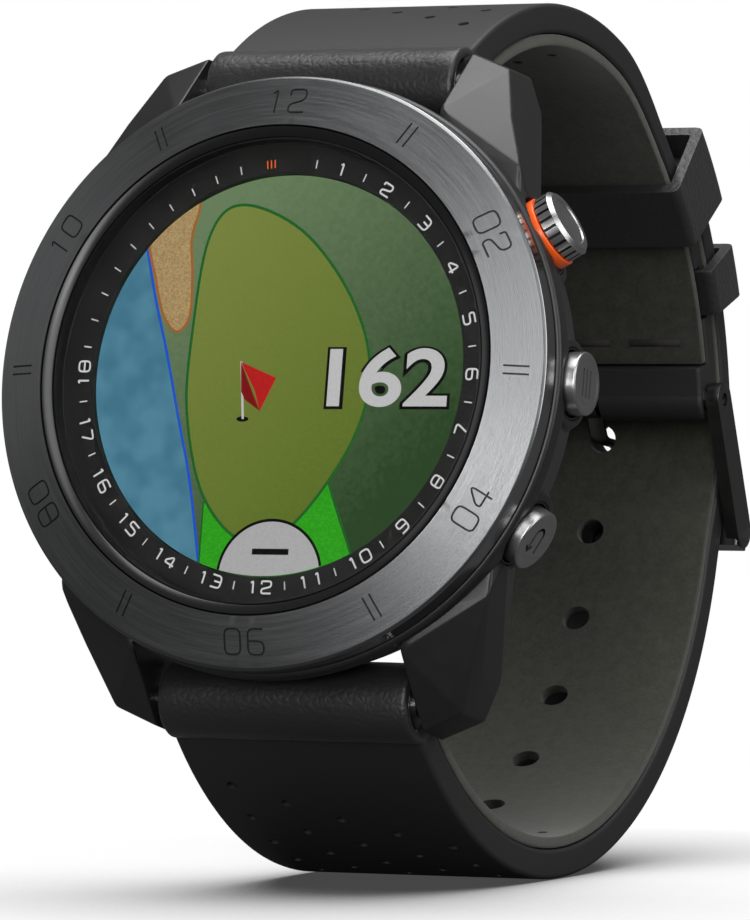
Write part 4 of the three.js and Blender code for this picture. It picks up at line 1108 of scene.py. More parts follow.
@dataclass
class HolePicture:
    """The display: a map of a hole with its putting green, flag, bunker, water and the distance to go."""

    layer: float = 0.02
    line: float = 0.22

    def __post_init__(self) -> None:
        """Reads the display's size from the frame."""
        self.radius = outer_radius("display_panel")
        self.front = front_of("display_panel")
        self.level = 0

    def patch(self, name: str, outline: Outline, finish: Finish, edge: Finish | None = None) -> None:
        """Lays one coloured patch on the display, trimmed to its round edge, above those laid before.

        Args:
            name: The patch's name.
            outline: Its outline.
            finish: Its finish.
            edge: The finish of a line round it, if it has one.
        """
        self.level += 1
        low = self.front + self.level * self.layer
        shape = plate(f"screen_{name}", outline, low, low + self.layer / 2)
        self.trim(shape)
        dress(place(shape, DIAL), "watch", finish, pattern=DIAL)
        if edge:
            self.level += 1
            low = self.front + self.level * self.layer
            border = stroke(f"screen_{name}_edge", [(True, outline)], self.line, self.layer / 2)
            place(border, Matrix.Translation((0, 0, (low + self.layer / 4) * MM)))
            self.trim(border)
            dress(place(border, DIAL), "watch", edge)

    def trim(self, shape: Piece) -> None:
        """Trims a patch to the display's disc.

        Args:
            shape: The patch.
        """
        radius = self.radius - 0.02
        disc = turned("disc", [(radius, self.front - 1), (radius, self.front + 1)], 128, ring=False)
        combine(shape, disc, Joining.KEEP, crossing=True)

    def build(self) -> None:
        """Makes the display panel and the map on it."""
        back = back_of("display_panel")
        outline = [(HUB, self.front), (self.radius, self.front), (self.radius, back), (HUB, back)]
        panel = turned("display_face", rounded(outline, 0.04, closed=False, steps=2), 144, ring=False)
        place(smooth(panel, 30), DIAL)
        dress(panel, "watch", SCREEN_ROUGH, "display_panel", pattern=DIAL)
        shore = [(-12.6, 13), (-11.5, 8.9), (-10.6, 5.6), (-9.4, 1.8), (-7.9, -3.5), (-6.6, -8.1), (-5.2, -15)]
        water = [*flowing(shore, closed=False), (-16, -15), (-16, 13)]
        self.patch("water", water, SCREEN_WATER, SCREEN_WATER_EDGE)
        bunker = [
            (-11.6, 11), (-10.8, 7.4), (-9.9, 4.6), (-8.7, 3.3),
            (-7.7, 4.4), (-7.7, 7.4), (-8, 10.4), (-7.6, 13.4),
        ]
        self.patch("bunker", flowing([*bunker, (-10, 15)]), SCREEN_SAND, SCREEN_SAND_EDGE)
        fairway = [(-5.3, -9.6), (-5.3, -16), (0, -16), (0, -11)]
        self.patch("fairway_left", fairway, SCREEN_FAIRWAY, SCREEN_GREEN_EDGE)
        fairway = [(4.6, -7.4), (5.6, -9.8), (7.4, -14), (5, -16), (0, -16), (0, -11)]
        self.patch("fairway_right", fairway, SCREEN_FAIRWAY, SCREEN_GREEN_EDGE)
        green = [
            (-4.0, 12.9), (1.2, 10.9), (5.6, 5.9), (7.6, 0.4), (6.5, -5.2), (2.2, -11.3), (-1.6, -12.6),
            (-5.3, -9.2), (-7.2, -3.0), (-7.3, 3.0), (-6.5, 10.4),
        ]
        self.patch("green", flowing(green), SCREEN_GREEN, SCREEN_GREEN_EDGE)
        self.patch("cup", self.oval((-2.55, -3.35), 0.5, 0.2, 16), SCREEN_BLACK)
        self.patch("pole", [(-2.6, -3.35), (-2.42, -3.35), (-2.9, 1.0), (-3.08, 1.0)], SCREEN_GREY)
        self.patch("flag", [(-3.0, 0.95), (0.0, -0.25), (-1.15, -2.75), (-1.7, -1.2)], SCREEN_RED)
        self.patch("flag_fold", [(-3.0, 0.95), (-1.15, -2.75), (-2.45, -1.9), (-2.8, -1.3)], SCREEN_DARK_RED)
        self.patch("menu_button", self.oval((0.65, -15.2), 4.25, 4.25, 64), SCREEN_BUTTON, SCREEN_BLACK)
        self.patch("menu_dash", [(-0.85, -13.55), (2.15, -13.55), (2.15, -13.1), (-0.85, -13.1)], SCREEN_BLACK)
        self.distance("162")

    def oval(self, centre: tuple[float, float], half_width: float, half_height: float, steps: int) -> Outline:
        """An oval outline about a centre."""
        angles = (i * math.tau / steps for i in range(steps))
        return [(centre[0] + half_width * math.cos(a), centre[1] + half_height * math.sin(a)) for a in angles]

    def distance(self, text: str) -> None:
        """Writes the distance to go in bold light figures with a black outline.

        Args:
            text: The figures.
        """
        low, high = Vector((4.35, -2.45)), Vector((14.1, 2.0))
        for name, swell, finish in (("outline", 0.055, SCREEN_BLACK), ("figures", 0.02, SCREEN_GREY)):
            self.level += 1
            bpy.ops.object.select_all(action="DESELECT")
            bpy.ops.object.text_add()
            written = bpy.context.object
            written.data.body = text
            written.data.offset = swell
            written.data.extrude = 0.01
            bpy.ops.object.convert(target="MESH")
            written = called(f"screen_distance_{name}")
            corners = [v.co.copy() for v in written.data.vertices]
            grow = (swell - 0.02) * 12.6
            least = Vector([min(c[i] for c in corners) for i in (0, 1)])
            most = Vector([max(c[i] for c in corners) for i in (0, 1)])
            span, wanted = most - least, high - low + Vector((grow, grow))
            base = self.front + self.level * self.layer
            thickness = self.layer / 2

            def fitted(p: Vector) -> Vector:
                """Stretches the writing into its field on the display."""
                x = (p.x * MM - least.x) / span.x * wanted.x + low.x - grow / 2
                y = (p.y * MM - least.y) / span.y * wanted.y + low.y - grow / 2
                return Vector((x, y, base + (thickness if p.z > 0 else 0)))

            remap(written, fitted)
            dress(place(written, DIAL), "watch", finish)


@dataclass
class CoverGlass:
    """The clear glass over the display."""

    gap: float = 0.05
    softening: float = 0.12
    dark_side: float = 0.11

    def build(self) -> None:
        """Makes the glass with softened edges and a dark side face."""
        radius, front, back = Bezel.lip - self.gap, front_of("cover_glass"), back_of("cover_glass")
        corners_of_half = [(HUB, back), (radius, back), (radius, front), (HUB, front)]
        outline = rounded(corners_of_half, self.softening, closed=False)
        glass = with_slots(turned("clear_glass", outline, 144, ring=False), 2)
        set_faces(glass, 1, lambda c, n: math.hypot(c.x, c.y) > radius - self.dark_side)
        place(smooth(glass, 30), DIAL)
        dress(glass, "watch", GLOSS_BLACK, "cover_glass", also=(RING_BLACK,))
        material = bpy.data.materials.new("clear_glass")
        material.use_nodes = True
        shader = material.node_tree.nodes["Principled BSDF"].inputs
        shader["Base Color"].default_value = (1, 1, 1, 1)
        shader["Roughness"].default_value = 0.0
        shader["Transmission Weight"].default_value = 1.0
        shader["IOR"].default_value = 1.12
        shader["Specular IOR Level"].default_value = 0.3
        glass.data.materials[0] = material


# ---- Case ----------------------------------------------------------------------------------------------


@dataclass
class Case:
    """The black case: its ring, four faceted lugs, the button bosses and the case back."""

    overhang: float = 0.3
    wall: float = 4.8
    groove: float = 0.3
    lug_inner: float = 11.0
    lug_reach: float = 3.2
    pin_reach: float = 0.7
    pin_depth: float = 1.3
    roll_room: float = 3.4
    lug_edge: float = 0.22
    back_rim: float = 3.6
    back_plate: float = 1.4
    back_lip: float = 1.5
    back_bevel: float = 0.5
    back_flat: float = 14.5
    screw_head: float = 0.45
    segments: int = 192

    def __post_init__(self) -> None:
        """Works out the case's radii and heights."""
        self.radius = outer_radius("bezel_ring") + self.overhang
        self.top = back_of("bezel_ring") - self.groove
        self.cavity = self.radius - self.wall
        self.seat = self.radius - self.back_rim
        self.pin_z = self.radius + self.pin_reach

    def ring(self) -> Piece:
        """The case's turned ring, with soft edges.

        Returns:
            The ring.
        """
        floor = self.back_plate + 0.1
        outline = [
            (self.cavity, self.top),
            (self.radius - 0.25, self.top),
            (self.radius, self.top - 0.25),
            (self.radius, self.top - 1.45),
            (self.radius - 0.4, self.top - 2.45),
            (self.radius - 1.1, floor + self.back_lip),
            (self.radius - 2.7, 0.7),
            (self.radius - 3.0, self.back_bevel),
            (self.seat, self.back_bevel),
            (self.seat, floor),
            (self.cavity - 2.5, floor),
            (self.cavity - 2.5, floor + self.back_lip),
            (self.cavity, floor + self.back_lip),
        ]
        return turned("case", rounded(outline, 0.15, steps=2), self.segments)

    def lug(self, side: int, end: int) -> Piece:
        """One faceted lug.

        Args:
            side: 1 for the button side, -1 for the other.
            end: 1 for the twelve o'clock end, -1 for the six o'clock end.

        Returns:
            The lug, in the dial's flat frame.
        """
        inner, tip, top = self.lug_inner, self.radius + self.lug_reach, self.top
        middle = (self.radius + self.cavity) / 2
        pin = self.pin_depth

        def on_ring(x: float, radius: float) -> float:
            """Height of a circle above a place across it."""
            return math.sqrt(radius**2 - x**2)

        corners = [
            (inner, tip - 0.2, pin + 1.2),
            (inner, on_ring(inner, self.radius) + 0.5, top - 0.9),
            (inner + 3.0, on_ring(inner + 3.0, self.radius) - 0.6, top - 0.9),
            (inner + 3.4, tip - 1.6, pin + 1.7),
            (inner + 5.0, tip - 5.9, pin + 4.2),
            (inner + 6.7, tip - 9.9, top - 1.4),
            (inner + 4.7, tip - 4.4, pin + 1.7),
            (inner + 7.3, tip - 13.2, pin + 4.2),
            (inner, tip, -1.0),
            (inner + 3.5, tip - 1.5, -1.0),
            (inner + 4.7, tip - 4.2, -0.6),
            (inner, on_ring(inner, middle), 0.6),
            (inner + 6.6, on_ring(inner + 6.6, middle), 2.0),
            (inner, on_ring(inner, middle), top - 0.9),
            (inner + 6.6, on_ring(inner + 6.6, middle), top - 1.4),
            (inner, tip - 5.4, -0.7),
        ]
        mesh = bpy.data.meshes.new("lug")
        mesh.from_pydata([(side * x * MM, end * y * MM, z * MM) for x, y, z in corners], [], [])
        lug = bpy.data.objects.new("lug", mesh)
        bpy.context.scene.collection.objects.link(lug)
        with editing(lug):
            bpy.ops.mesh.convex_hull()
            bpy.ops.mesh.dissolve_limited(angle_limit=math.radians(2))
            bpy.ops.mesh.normals_make_consistent(inside=False)
        return bevel(lug, self.lug_edge, 2, 12)

    def roll_recess(self, end: int) -> Piece:
        """The tool that clears the case for the strap's roll at one end.

        Args:
            end: 1 for the twelve o'clock end, -1 for the six o'clock end.

        Returns:
            The tool.
        """
        half = self.lug_inner - 0.01
        room = turned("room", [(self.roll_room, -half), (self.roll_room, half)], 64, ring=False)
        centre = Matrix.Translation((0, end * self.pin_z * MM, self.pin_depth * MM))
        return place(room, centre @ Matrix.Rotation(math.pi / 2, 4, "Y"))

    def build(self, buttons: Sequence[Button]) -> None:
        """Makes the case with its lugs and bosses.

        Args:
            buttons: The side buttons whose bosses stand on the case.
        """
        case = self.ring()
        for side in (1, -1):
            for end in (1, -1):
                combine(case, self.lug(side, end), Joining.JOIN)
        for button in buttons:
            combine(case, place(button.boss(self), DIAL.inverted() @ button.matrix()), Joining.JOIN)
        for button in buttons:
            combine(case, place(button.bore(self), DIAL.inverted() @ button.matrix()))
        above = turned("above", [(self.radius + 3, self.top), (self.radius + 3, self.top + 5)], 96, ring=False)
        inside = turned(
            "inside",
            [(self.cavity, self.back_plate + 0.1 + self.back_lip), (self.cavity, self.top + 1)],
            self.segments,
            ring=False,
        )
        seat = [(self.seat, -2), (self.seat, self.back_plate + 0.1)]
        below = turned("below", seat, self.segments, ring=False)
        for tool in (above, inside, below, self.roll_recess(1), self.roll_recess(-1)):
            combine(case, tool)
        place(smooth(case, 30), DIAL)
        dress(case, "watch", CASE_BLACK, "mid_case")
        self.back()

    def back(self) -> None:
        """Makes the case back with turned steps and its screws, and leaves room for the charging contacts."""
        edge = self.seat - 0.1
        steps = [(self.back_flat - 1.2, 0), (self.back_flat - 1.35, 0.12), (self.back_flat - 1.75, 0.12),
                 (self.back_flat - 1.9, 0), (9.2, 0), (9.1, 0.06), (8.9, 0.06), (8.8, 0)]
        outline = [
            (HUB, self.back_plate), (edge, self.back_plate), (edge, self.back_bevel), (self.back_flat, 0),
        ]
        plate_outline = rounded([*outline, *steps, (HUB, 0)], 0.08, closed=False, steps=2)
        cover = with_slots(turned("back_cover", plate_outline, self.segments, ring=False), 1)
        low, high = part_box("charging_contact_block")
        room = block(
            "room",
            (low.x / MM - 0.08, low.z / MM - 0.08, -1),
            (high.x / MM + 0.08, high.z / MM + 0.08, -low.y / MM + 0.1),
            0.3,
        )
        combine(cover, room)
        for i in range(1, 5):
            low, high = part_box(f"case_back_screw_{i}")
            spot = (low + high) / 2
            radius = (high.x - low.x) / 2 / MM
            head_back = -high.y / MM
            pocket = turned("pocket", [(radius + 0.12, -1), (radius + 0.12, head_back + 0.55)], 48, ring=False)
            combine(cover, place(pocket, Matrix.Translation((spot.x, spot.z, 0))))
            head = turned(
                f"back_screw_{i}",
                rounded(
                    [
                        (NARROW_HUB, head_back),
                        (radius - 0.02, head_back),
                        (radius - 0.02, head_back + self.screw_head),
                        (NARROW_HUB, head_back + self.screw_head),
                    ],
                    0.12,
                    closed=False,
                ),
                48,
                ring=False,
            )
            socket = turned("socket", [(0.5, -1), (0.5, head_back + 0.3)], 6, ring=False)
            combine(head, socket)
            place(smooth(head, 30), DIAL @ Matrix.Translation((spot.x, spot.z, 0)))
            dress(head, "watch", STEEL, f"case_back_screw_{i}")
        place(smooth(cover, 30), DIAL)
        dress(cover, "watch", CASE_BLACK, "case_back")


@dataclass
class Button:
    """One side button, modelled with its axis along +Z and heights measured from the dial's centre."""

    name: str
    angle: float
    head_radius: float
    boss_face: float
    boss_radius: float
    sleeve_radius: float
    bore_radius: float
    head_face: float
    knurls: int = 0
    segments: int = 72
    stem_radius: float = 0.7
    sleeve_hole: float = 0.85
    counterbore: float = 2.35
    collar_inner: float = 2.25
    collar_outer: float = 2.78
    collar_length: float = 0.88

    def matrix(self) -> Matrix:
        """Where the button stands in the frame.

        Returns:
            The button's matrix, in metres.
        """
        low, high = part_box(f"{self.name}_seal")
        depth = (low.y + high.y) / 2
        turn = math.radians(self.angle)
        outwards = Vector((math.cos(turn), 0, math.sin(turn)))
        along = Vector((-math.sin(turn), 0, math.cos(turn)))
        frontwards = Vector((0, -1, 0))
        columns = Matrix((along, frontwards, outwards)).transposed().to_4x4()
        return Matrix.Translation((0, depth, 0)) @ columns

    def depth_range(self) -> tuple[float, float, float]:
        """Where the stem ends, where the sleeve ends and where the neck starts, from the dial's centre.

        Returns:
            The three distances.
        """
        stem_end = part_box("middle_button_cap")[0].x / MM
        sleeve_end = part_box("middle_button_sleeve")[0].x / MM
        spring_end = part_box("middle_button_spring")[1].x / MM
        return stem_end, sleeve_end, spring_end

    def boss(self, case: Case) -> Piece:
        """The faceted boss that carries the button.

        Args:
            case: The case that it stands on.

        Returns:
            The boss.
        """
        outline = [
            (self.boss_radius + 1.5, case.cavity + 0.5),
            (self.boss_radius + 0.75, self.boss_face - 1.1),
            (self.boss_radius + 0.15, self.boss_face - 0.1),
            (self.boss_radius - 0.1, self.boss_face),
        ]
        return turned(f"{self.name}_boss", outline, self.segments, ring=False)

    def bore(self, case: Case) -> Piece:
        """The tool that opens the boss for the sleeve.

        Args:
            case: The case that it opens.

        Returns:
            The tool.
        """
        outline = [(self.sleeve_radius, case.cavity - 3), (self.sleeve_radius, self.boss_face + 4)]
        return turned(f"{self.name}_bore", outline, self.segments, ring=False)

    def stem(self) -> list[tuple[float, float]]:
        """Outline of the stem up to the neck, with the clip's groove.

        Returns:
            Its (radius, height) points.
        """
        stem_end, sleeve_end, neck = self.depth_range()
        clip = sleeve_end - 0.6
        radius, groove = self.stem_radius, self.stem_radius - 0.2
        return [
            (NARROW_HUB, stem_end),
            (radius, stem_end),
            (radius, clip - 0.05),
            (groove, clip - 0.05),
            (groove, clip + 0.35),
            (radius, clip + 0.35),
            (radius, neck + 0.02),
        ]

    def build(self) -> None:
        """Makes the cap, its sleeve and, for the knurled button, its orange collar."""
        matrix = self.matrix()
        face = self.head_face
        if self.knurls:
            cap = self.knurled_cap()
        else:
            outline = [
                *self.stem(),
                (self.head_radius, self.stem()[-1][1]),
                *rounded(
                    [
                        (self.head_radius, face - 1.6),
                        (self.head_radius, face - 0.12),
                        (self.head_radius - 0.12, face),
                        (self.head_radius - 0.45, face),
                        (self.head_radius - 0.55, face - 0.05),
                        (NARROW_HUB, face - 0.05),
                    ],
                    0.06,
                    closed=False,
                    steps=2,
                ),
            ]
            cap = with_slots(turned(f"{self.name}_metal_cap", outline, self.segments, ring=False), 2)
            combine(cap, self.symbol(face - 0.05), crossing=True)
        place(smooth(cap, 28), matrix)
        dress(cap, self.name, BUTTON_METAL, f"{self.name}_cap", pattern=matrix, also=(ENGRAVING_FILL_AND_GROOVE_SHADE,))
        self.sleeve(matrix)

    def symbol(self, face: float) -> Piece:
        """The mark engraved on a plain cap: three lines on the middle one, a turning arrow on the lowest.

        Args:
            face: Height of the cap's face.

        Returns:
            The cutter.
        """
        if self.angle == 0:
            lines = [(False, [(-1.05, y), (1.05, y)]) for y in (-0.62, 0.0, 0.62)]
        else:
            angles = (math.radians(90 - 20 * i) for i in range(10))
            bend = [(0.35 + 0.62 * math.cos(a), 0.62 * math.sin(a)) for a in angles]
            lines = [
                (False, [(-0.8, 0.62), *bend, (-0.95, -0.62)]),
                (False, [(-0.5, 1.05), (-0.95, 0.62), (-0.5, 0.2)]),
            ]
        mark = stroke(f"{self.name}_mark", lines, 0.25, 0.4)
        return set_faces(with_slots(place(mark, Matrix.Translation((0, 0, face * MM))), 2), 1)

    def knurled_cap(self) -> Piece:
        """The tall head with grooves round its side and a dished face.

        Returns:
            The cap.
        """
        face, radius = self.head_face, self.head_radius
        base, neck = face - 1.45, 2.2
        outline = [
            *self.stem(),
            (neck, self.stem()[-1][1]),
            (neck, base),
            (radius - 0.12, base),
            (radius, base + 0.12),
            (radius, face - 0.3),
            (radius - 0.3, face),
            (radius - 0.75, face),
            (radius - 0.85, face - 0.09),
            (NARROW_HUB, face - 0.09),
        ]
        cap = with_slots(turned(f"{self.name}_metal_cap", outline, 96, ring=False), 2)
        grooves = []
        for i in range(self.knurls):
            turn = math.tau * i / self.knurls
            groove = block("groove", (radius - 0.2, -0.11, base - 0.2), (radius + 0.3, 0.11, face - 0.34))
            grooves.append(place(groove, Matrix.Rotation(turn, 4, "Z")))
        # The groove walls take the cap's second, near-black finish: painted shade in the knurl's grooves.
        cutter = set_faces(with_slots(join("grooves", grooves), 2), 1)
        return combine(cap, cutter, crossing=True)

    def sleeve(self, matrix: Matrix) -> None:
        """Makes the sleeve, and the collar under a knurled head.

        Args:
            matrix: Where the button stands.
        """
        _, sleeve_end, neck = self.depth_range()
        counterbore = self.counterbore if self.knurls else self.bore_radius
        outline = [
            (self.sleeve_hole, sleeve_end),
            (self.sleeve_radius - 0.03, sleeve_end),
            (self.sleeve_radius - 0.03, self.boss_face),
            (self.bore_radius, self.boss_face),
            (self.bore_radius, self.boss_face - 0.6),
            (counterbore, self.boss_face - 0.6),
            (counterbore, neck - 1.3),
            (self.sleeve_hole, neck - 1.3),
        ]
        sleeve = turned(f"{self.name}_metal_sleeve", rounded(outline, 0.05, steps=1), self.segments)
        place(smooth(sleeve, 28), matrix)
        dress(sleeve, "watch", SLEEVE_METAL, f"{self.name}_sleeve")
        if self.knurls:
            base = self.head_face - 1.48
            inner, outer, low = self.collar_inner, self.collar_outer, base - self.collar_length
            outline = [(inner, low), (outer, low), (outer, base), (inner, base)]
            collar = turned("orange_collar", rounded(outline, 0.14), self.segments)
            place(smooth(collar, 28), matrix)
            dress(collar, self.name, ORANGE, f"{self.name}_collar")


BUTTONS = (
    Button("top_button", 30, 2.65, 21.8, 3.45, 3.1, 2.85, 24.4, knurls=24),
    Button("middle_button", 0, 2.35, 22.3, 3.1, 2.75, 2.5, 23.5),
    Button("bottom_button", -30, 2.35, 22.3, 3.1, 2.75, 2.5, 23.5),
)


# ---- Strap ---------------------------------------------------------------------------------------------

# A flat outline drawn in x and y stands up along the strap's side: x becomes +Y, y becomes +Z, height +X.
SIDEWAYS = Matrix(((0, 0, 1, 0), (1, 0, 0, 0), (0, 1, 0, 0), (0, 0, 0, 1)))


def ramp(start: float, end: float, low: float, high: float) -> Callable[[float], float]:
    """A smooth change from one value to another between two angles.

    Args:
        start: The angle that the change starts at.
        end: The angle that it ends at.
        low: The value before it.
        high: The value after it.

    Returns:
        The value as a function of the angle.
    """

    def value(angle: float) -> float:
        """The value at an angle."""
        t = min(max((angle - start) / (end - start), 0), 1)
        return low + (high - low) * t * t * (3 - 2 * t)

    return value


@dataclass(frozen=True)
class Loop:
    """The buckled loop of the strap: places are an angle from +Y towards +Z and a radius about its centre."""

    centre: float = 20.498
    inner: float = 30.6
    outer: float = 33.9
    half: float = 10.3
    lining: float = 0.9
    gap: float = 0.08
    per_degree: float = 0.59

    def at(self, angle: float, radius: float, x: float = 0.0) -> Vector:
        """The place at an angle in degrees and a radius."""
        turn = math.radians(angle)
        return Vector((x, self.centre + radius * math.cos(turn), radius * math.sin(turn)))

    def blank(
        self, name: str, half: float, start: float, end: float, low: float, high: float, columns: int = 2
    ) -> Piece:
        """A flat closed strip that can be wrapped: x across, y along the loop and z the height.

        Args:
            name: Its name.
            half: Half of its width.
            start: The angle that it starts at.
            end: The angle that it ends at.
            low: Its lowest height.
            high: Its greatest height.
            columns: Steps across it.

        Returns:
            The strip.
        """
        rows = max(2, round(abs(end - start) / 1.5))
        take()
        bpy.ops.mesh.primitive_grid_add(
            x_subdivisions=columns,
            y_subdivisions=rows,
            size=1,
            location=(0, (start + end) / 2 * self.per_degree * MM, low * MM),
        )
        bpy.context.object.scale = (2 * half * MM, abs(end - start) * self.per_degree * MM, 1)
        piece = called(name)
        with editing(piece):
            bpy.ops.mesh.extrude_region_move(TRANSFORM_OT_translate={"value": (0, 0, (high - low) * MM)})
        return face_out(piece)

    def punch(self, piece: Piece, spots: Sequence[tuple[float, float]], radius: float) -> Piece:
        """Punches round holes through a flat strip at (x, angle) places.

        Args:
            piece: The strip.
            spots: The places.
            radius: The holes' radius.

        Returns:
            The strip.
        """
        pins = []
        for x, angle in spots:
            pin = turned("pin", [(radius, -5), (radius, 10)], 24, ring=False)
            pins.append(place(pin, Matrix.Translation((x * MM, angle * self.per_degree * MM, 0))))
        return combine(piece, join("pins", pins))

    def wrap(
        self, piece: Piece, low: Callable[[float], float], high: Callable[[float], float], thickness: float
    ) -> Piece:
        """Wraps a flat strip round the loop.

        Args:
            piece: The strip.
            low: The radius that height 0 goes to, at each angle.
            high: The radius that the full height goes to.
            thickness: The full height.

        Returns:
            The wrapped strip.
        """

        def wrapped(p: Vector) -> Vector:
            """Where a place of the flat strip goes on the loop."""
            angle = p.y / self.per_degree
            share = p.z / thickness
            return self.at(angle, low(angle) * (1 - share) + high(angle) * share, p.x)

        return face_out(remap(piece, wrapped))

    def ring_band(self, name: str, outline: Outline, start: float, end: float, edge: float) -> Piece:
        """A band with a free cross-section, bent along the loop.

        Args:
            name: Its name.
            outline: Its cross-section as (x, radius) points.
            start: The angle that it starts at.
            end: The angle that it ends at.
            edge: How much its rims are rounded.

        Returns:
            The band.
        """
        band = plate(name, outline, 0, (end - start) * self.per_degree)
        if edge:
            bevel(band, edge, 3, 50)
        with editing(band):
            for k in range(1, 6):
                bpy.ops.mesh.select_all(action="SELECT")
                height = (end - start) * self.per_degree * k / 6 * MM
                bpy.ops.mesh.bisect(plane_co=(0, 0, height), plane_no=(0, 0, 1))
        return remap(band, lambda p: self.at(start + p.z / self.per_degree, p.y, p.x))


LOOP = Loop()


@dataclass
class Strap:
    """Both halves of the leather strap with their suede linings."""

    pin_depth: float = 1.3
    pin_z: float = 23.4
    roll_radius: float = 3.0
    roll_leather: float = 0.9
    start: float = 131.2
    lining_start: float = 127.1
    buckle_inner: float = 29.7
    buckle_outer: float = 32.3
    tail_inner: float = 32.45
    tail_outer: float = 35.2
    tail_tip: float = 50.5
    bar_angle: float = 16.0
    bar_orbit: float = 30.4
    bar_roll: float = 1.75
    fold_end: float = 21.4
    hole_radius: float = 1.175
    hole_pitch: float = 14.2
    tongue_hole: float = 9.8
    perforation: float = 0.43
    edge: float = 0.35
    leather_blank: float = 2.3
    seam_angle: float = 25.2
    stitch_pitch: float = 6.2
    stitch_length: float = 4.4

    def perforations(self) -> list[tuple[float, float]]:
        """The slanted field of ventilation holes of the lower half, as (x, angle)."""
        return [(-7.3 + 3.77 * i, -120 + 7.4 * j + 3.7 * i) for i in range(5) for j in range(5)]

    def roll(self, side: int) -> Piece:
        """The leather rolled round the connector at one lug, open towards the wrist.

        Args:
            side: 1 at twelve o'clock, -1 at six o'clock.

        Returns:
            The roll.
        """
        inner, outer, half = self.roll_radius - self.roll_leather, self.roll_radius, LOOP.half
        outline = rounded([(inner, -half), (outer, -half), (outer, half), (inner, half)], 0.4, steps=3)
        roll = turned("roll", outline, 64)
        with editing(roll):
            for k in range(1, 14):
                bpy.ops.mesh.select_all(action="SELECT")
                bpy.ops.mesh.bisect(plane_co=(0, 0, half * (k / 7 - 1) * MM), plane_no=(0, 0, 1))

        def wrinkled(p: Vector) -> Vector:
            """Swells the roll a little, unevenly, as leather does."""
            bearing = math.atan2(p.y, p.x)
            swell = 1 + 0.012 * math.sin(5 * bearing + 0.5 * p.z) * math.cos(0.45 * p.z)
            return Vector((p.x * swell, p.y * swell, p.z))

        remap(roll, wrinkled)
        centre = Vector((0, -self.pin_depth, side * self.pin_z))
        place(roll, Matrix.Translation(centre * MM) @ SIDEWAYS)
        inwards = Vector((0, LOOP.centre, 0)) - centre
        slot = block("slot", (-LOOP.half - 1, -1.25, 0), (LOOP.half + 1, 1.25, 5))
        turn = Vector((0, 0, 1)).rotation_difference(inwards.normalized()).to_matrix().to_4x4()
        combine(roll, place(slot, Matrix.Translation(centre * MM) @ turn))
        return roll

    def pierce(self, strip: Piece, spots: Outline, holes: Outline) -> None:
        """Punches the ventilation holes and then the adjusting holes through a flat strip.

        Args:
            strip: The strip.
            spots: Places of the ventilation holes.
            holes: Places of the adjusting holes.
        """
        LOOP.punch(strip, spots, self.perforation)
        if holes:
            LOOP.punch(strip, holes, self.hole_radius)

    def leather(
        self,
        name: str,
        start: float,
        end: float,
        spots: Outline,
        holes: Outline,
        low: Callable[[float], float],
        high: Callable[[float], float],
    ) -> Piece:
        """The outer leather of one half, cut, punched and wrapped.

        Args:
            name: Its name.
            start: The angle that it starts at.
            end: The angle that it ends at.
            spots: Its ventilation holes.
            holes: Its adjusting holes.
            low: Radius of its inner face.
            high: Radius of its outer face.

        Returns:
            The leather.
        """
        thickness = self.leather_blank
        strip = LOOP.blank(name, LOOP.half, start, end, 0, thickness, 4)
        bevel(strip, self.edge, 3, 50)
        self.pierce(strip, spots, holes)
        return LOOP.wrap(strip, low, high, thickness)

    def lining_strip(
        self, name: str, start: float, end: float, spots: Outline, holes: Outline, low: Callable[[float], float]
    ) -> Piece:
        """The suede lining of one half.

        Args:
            name: Its name.
            start: The angle that it starts at.
            end: The angle that it ends at.
            spots: Its ventilation holes.
            holes: Its adjusting holes.
            low: Radius of its inner face.

        Returns:
            The lining.
        """
        strip = LOOP.blank(name, LOOP.half - 0.1, start, end, 0, LOOP.lining, 4)
        bevel(strip, 0.2, 2, 50)
        self.pierce(strip, spots, holes)
        return LOOP.wrap(strip, low, lambda angle: low(angle) + LOOP.lining, LOOP.lining)

    def lower(self) -> None:
        """Makes the lower half, whose tail passes over the upper half at the buckle."""
        inner = ramp(-8, 14, LOOP.inner, self.tail_inner)
        outer = ramp(-8, 14, LOOP.outer, self.tail_outer)
        above = LOOP.lining + LOOP.gap
        spots = self.perforations()
        holes = [(0.0, self.tongue_hole + self.hole_pitch * k) for k in range(-5, 3)]
        leather = self.leather(
            "lower_leather", -self.start, self.tail_tip, spots, holes, lambda a: inner(a) + above, outer
        )
        combine(leather, self.roll(-1), Joining.JOIN)
        dress(smooth(leather, 35), "watch", LEATHER, "lower_strap_leather", also=(ROLLED_LEATHER,))
        self.rough_roll(leather, -1)
        lining = self.lining_strip("lower_lining", -self.lining_start, self.tail_tip - 0.5, spots, holes, inner)
        dress(smooth(lining, 35), "watch", LINING, "lower_strap_lining")

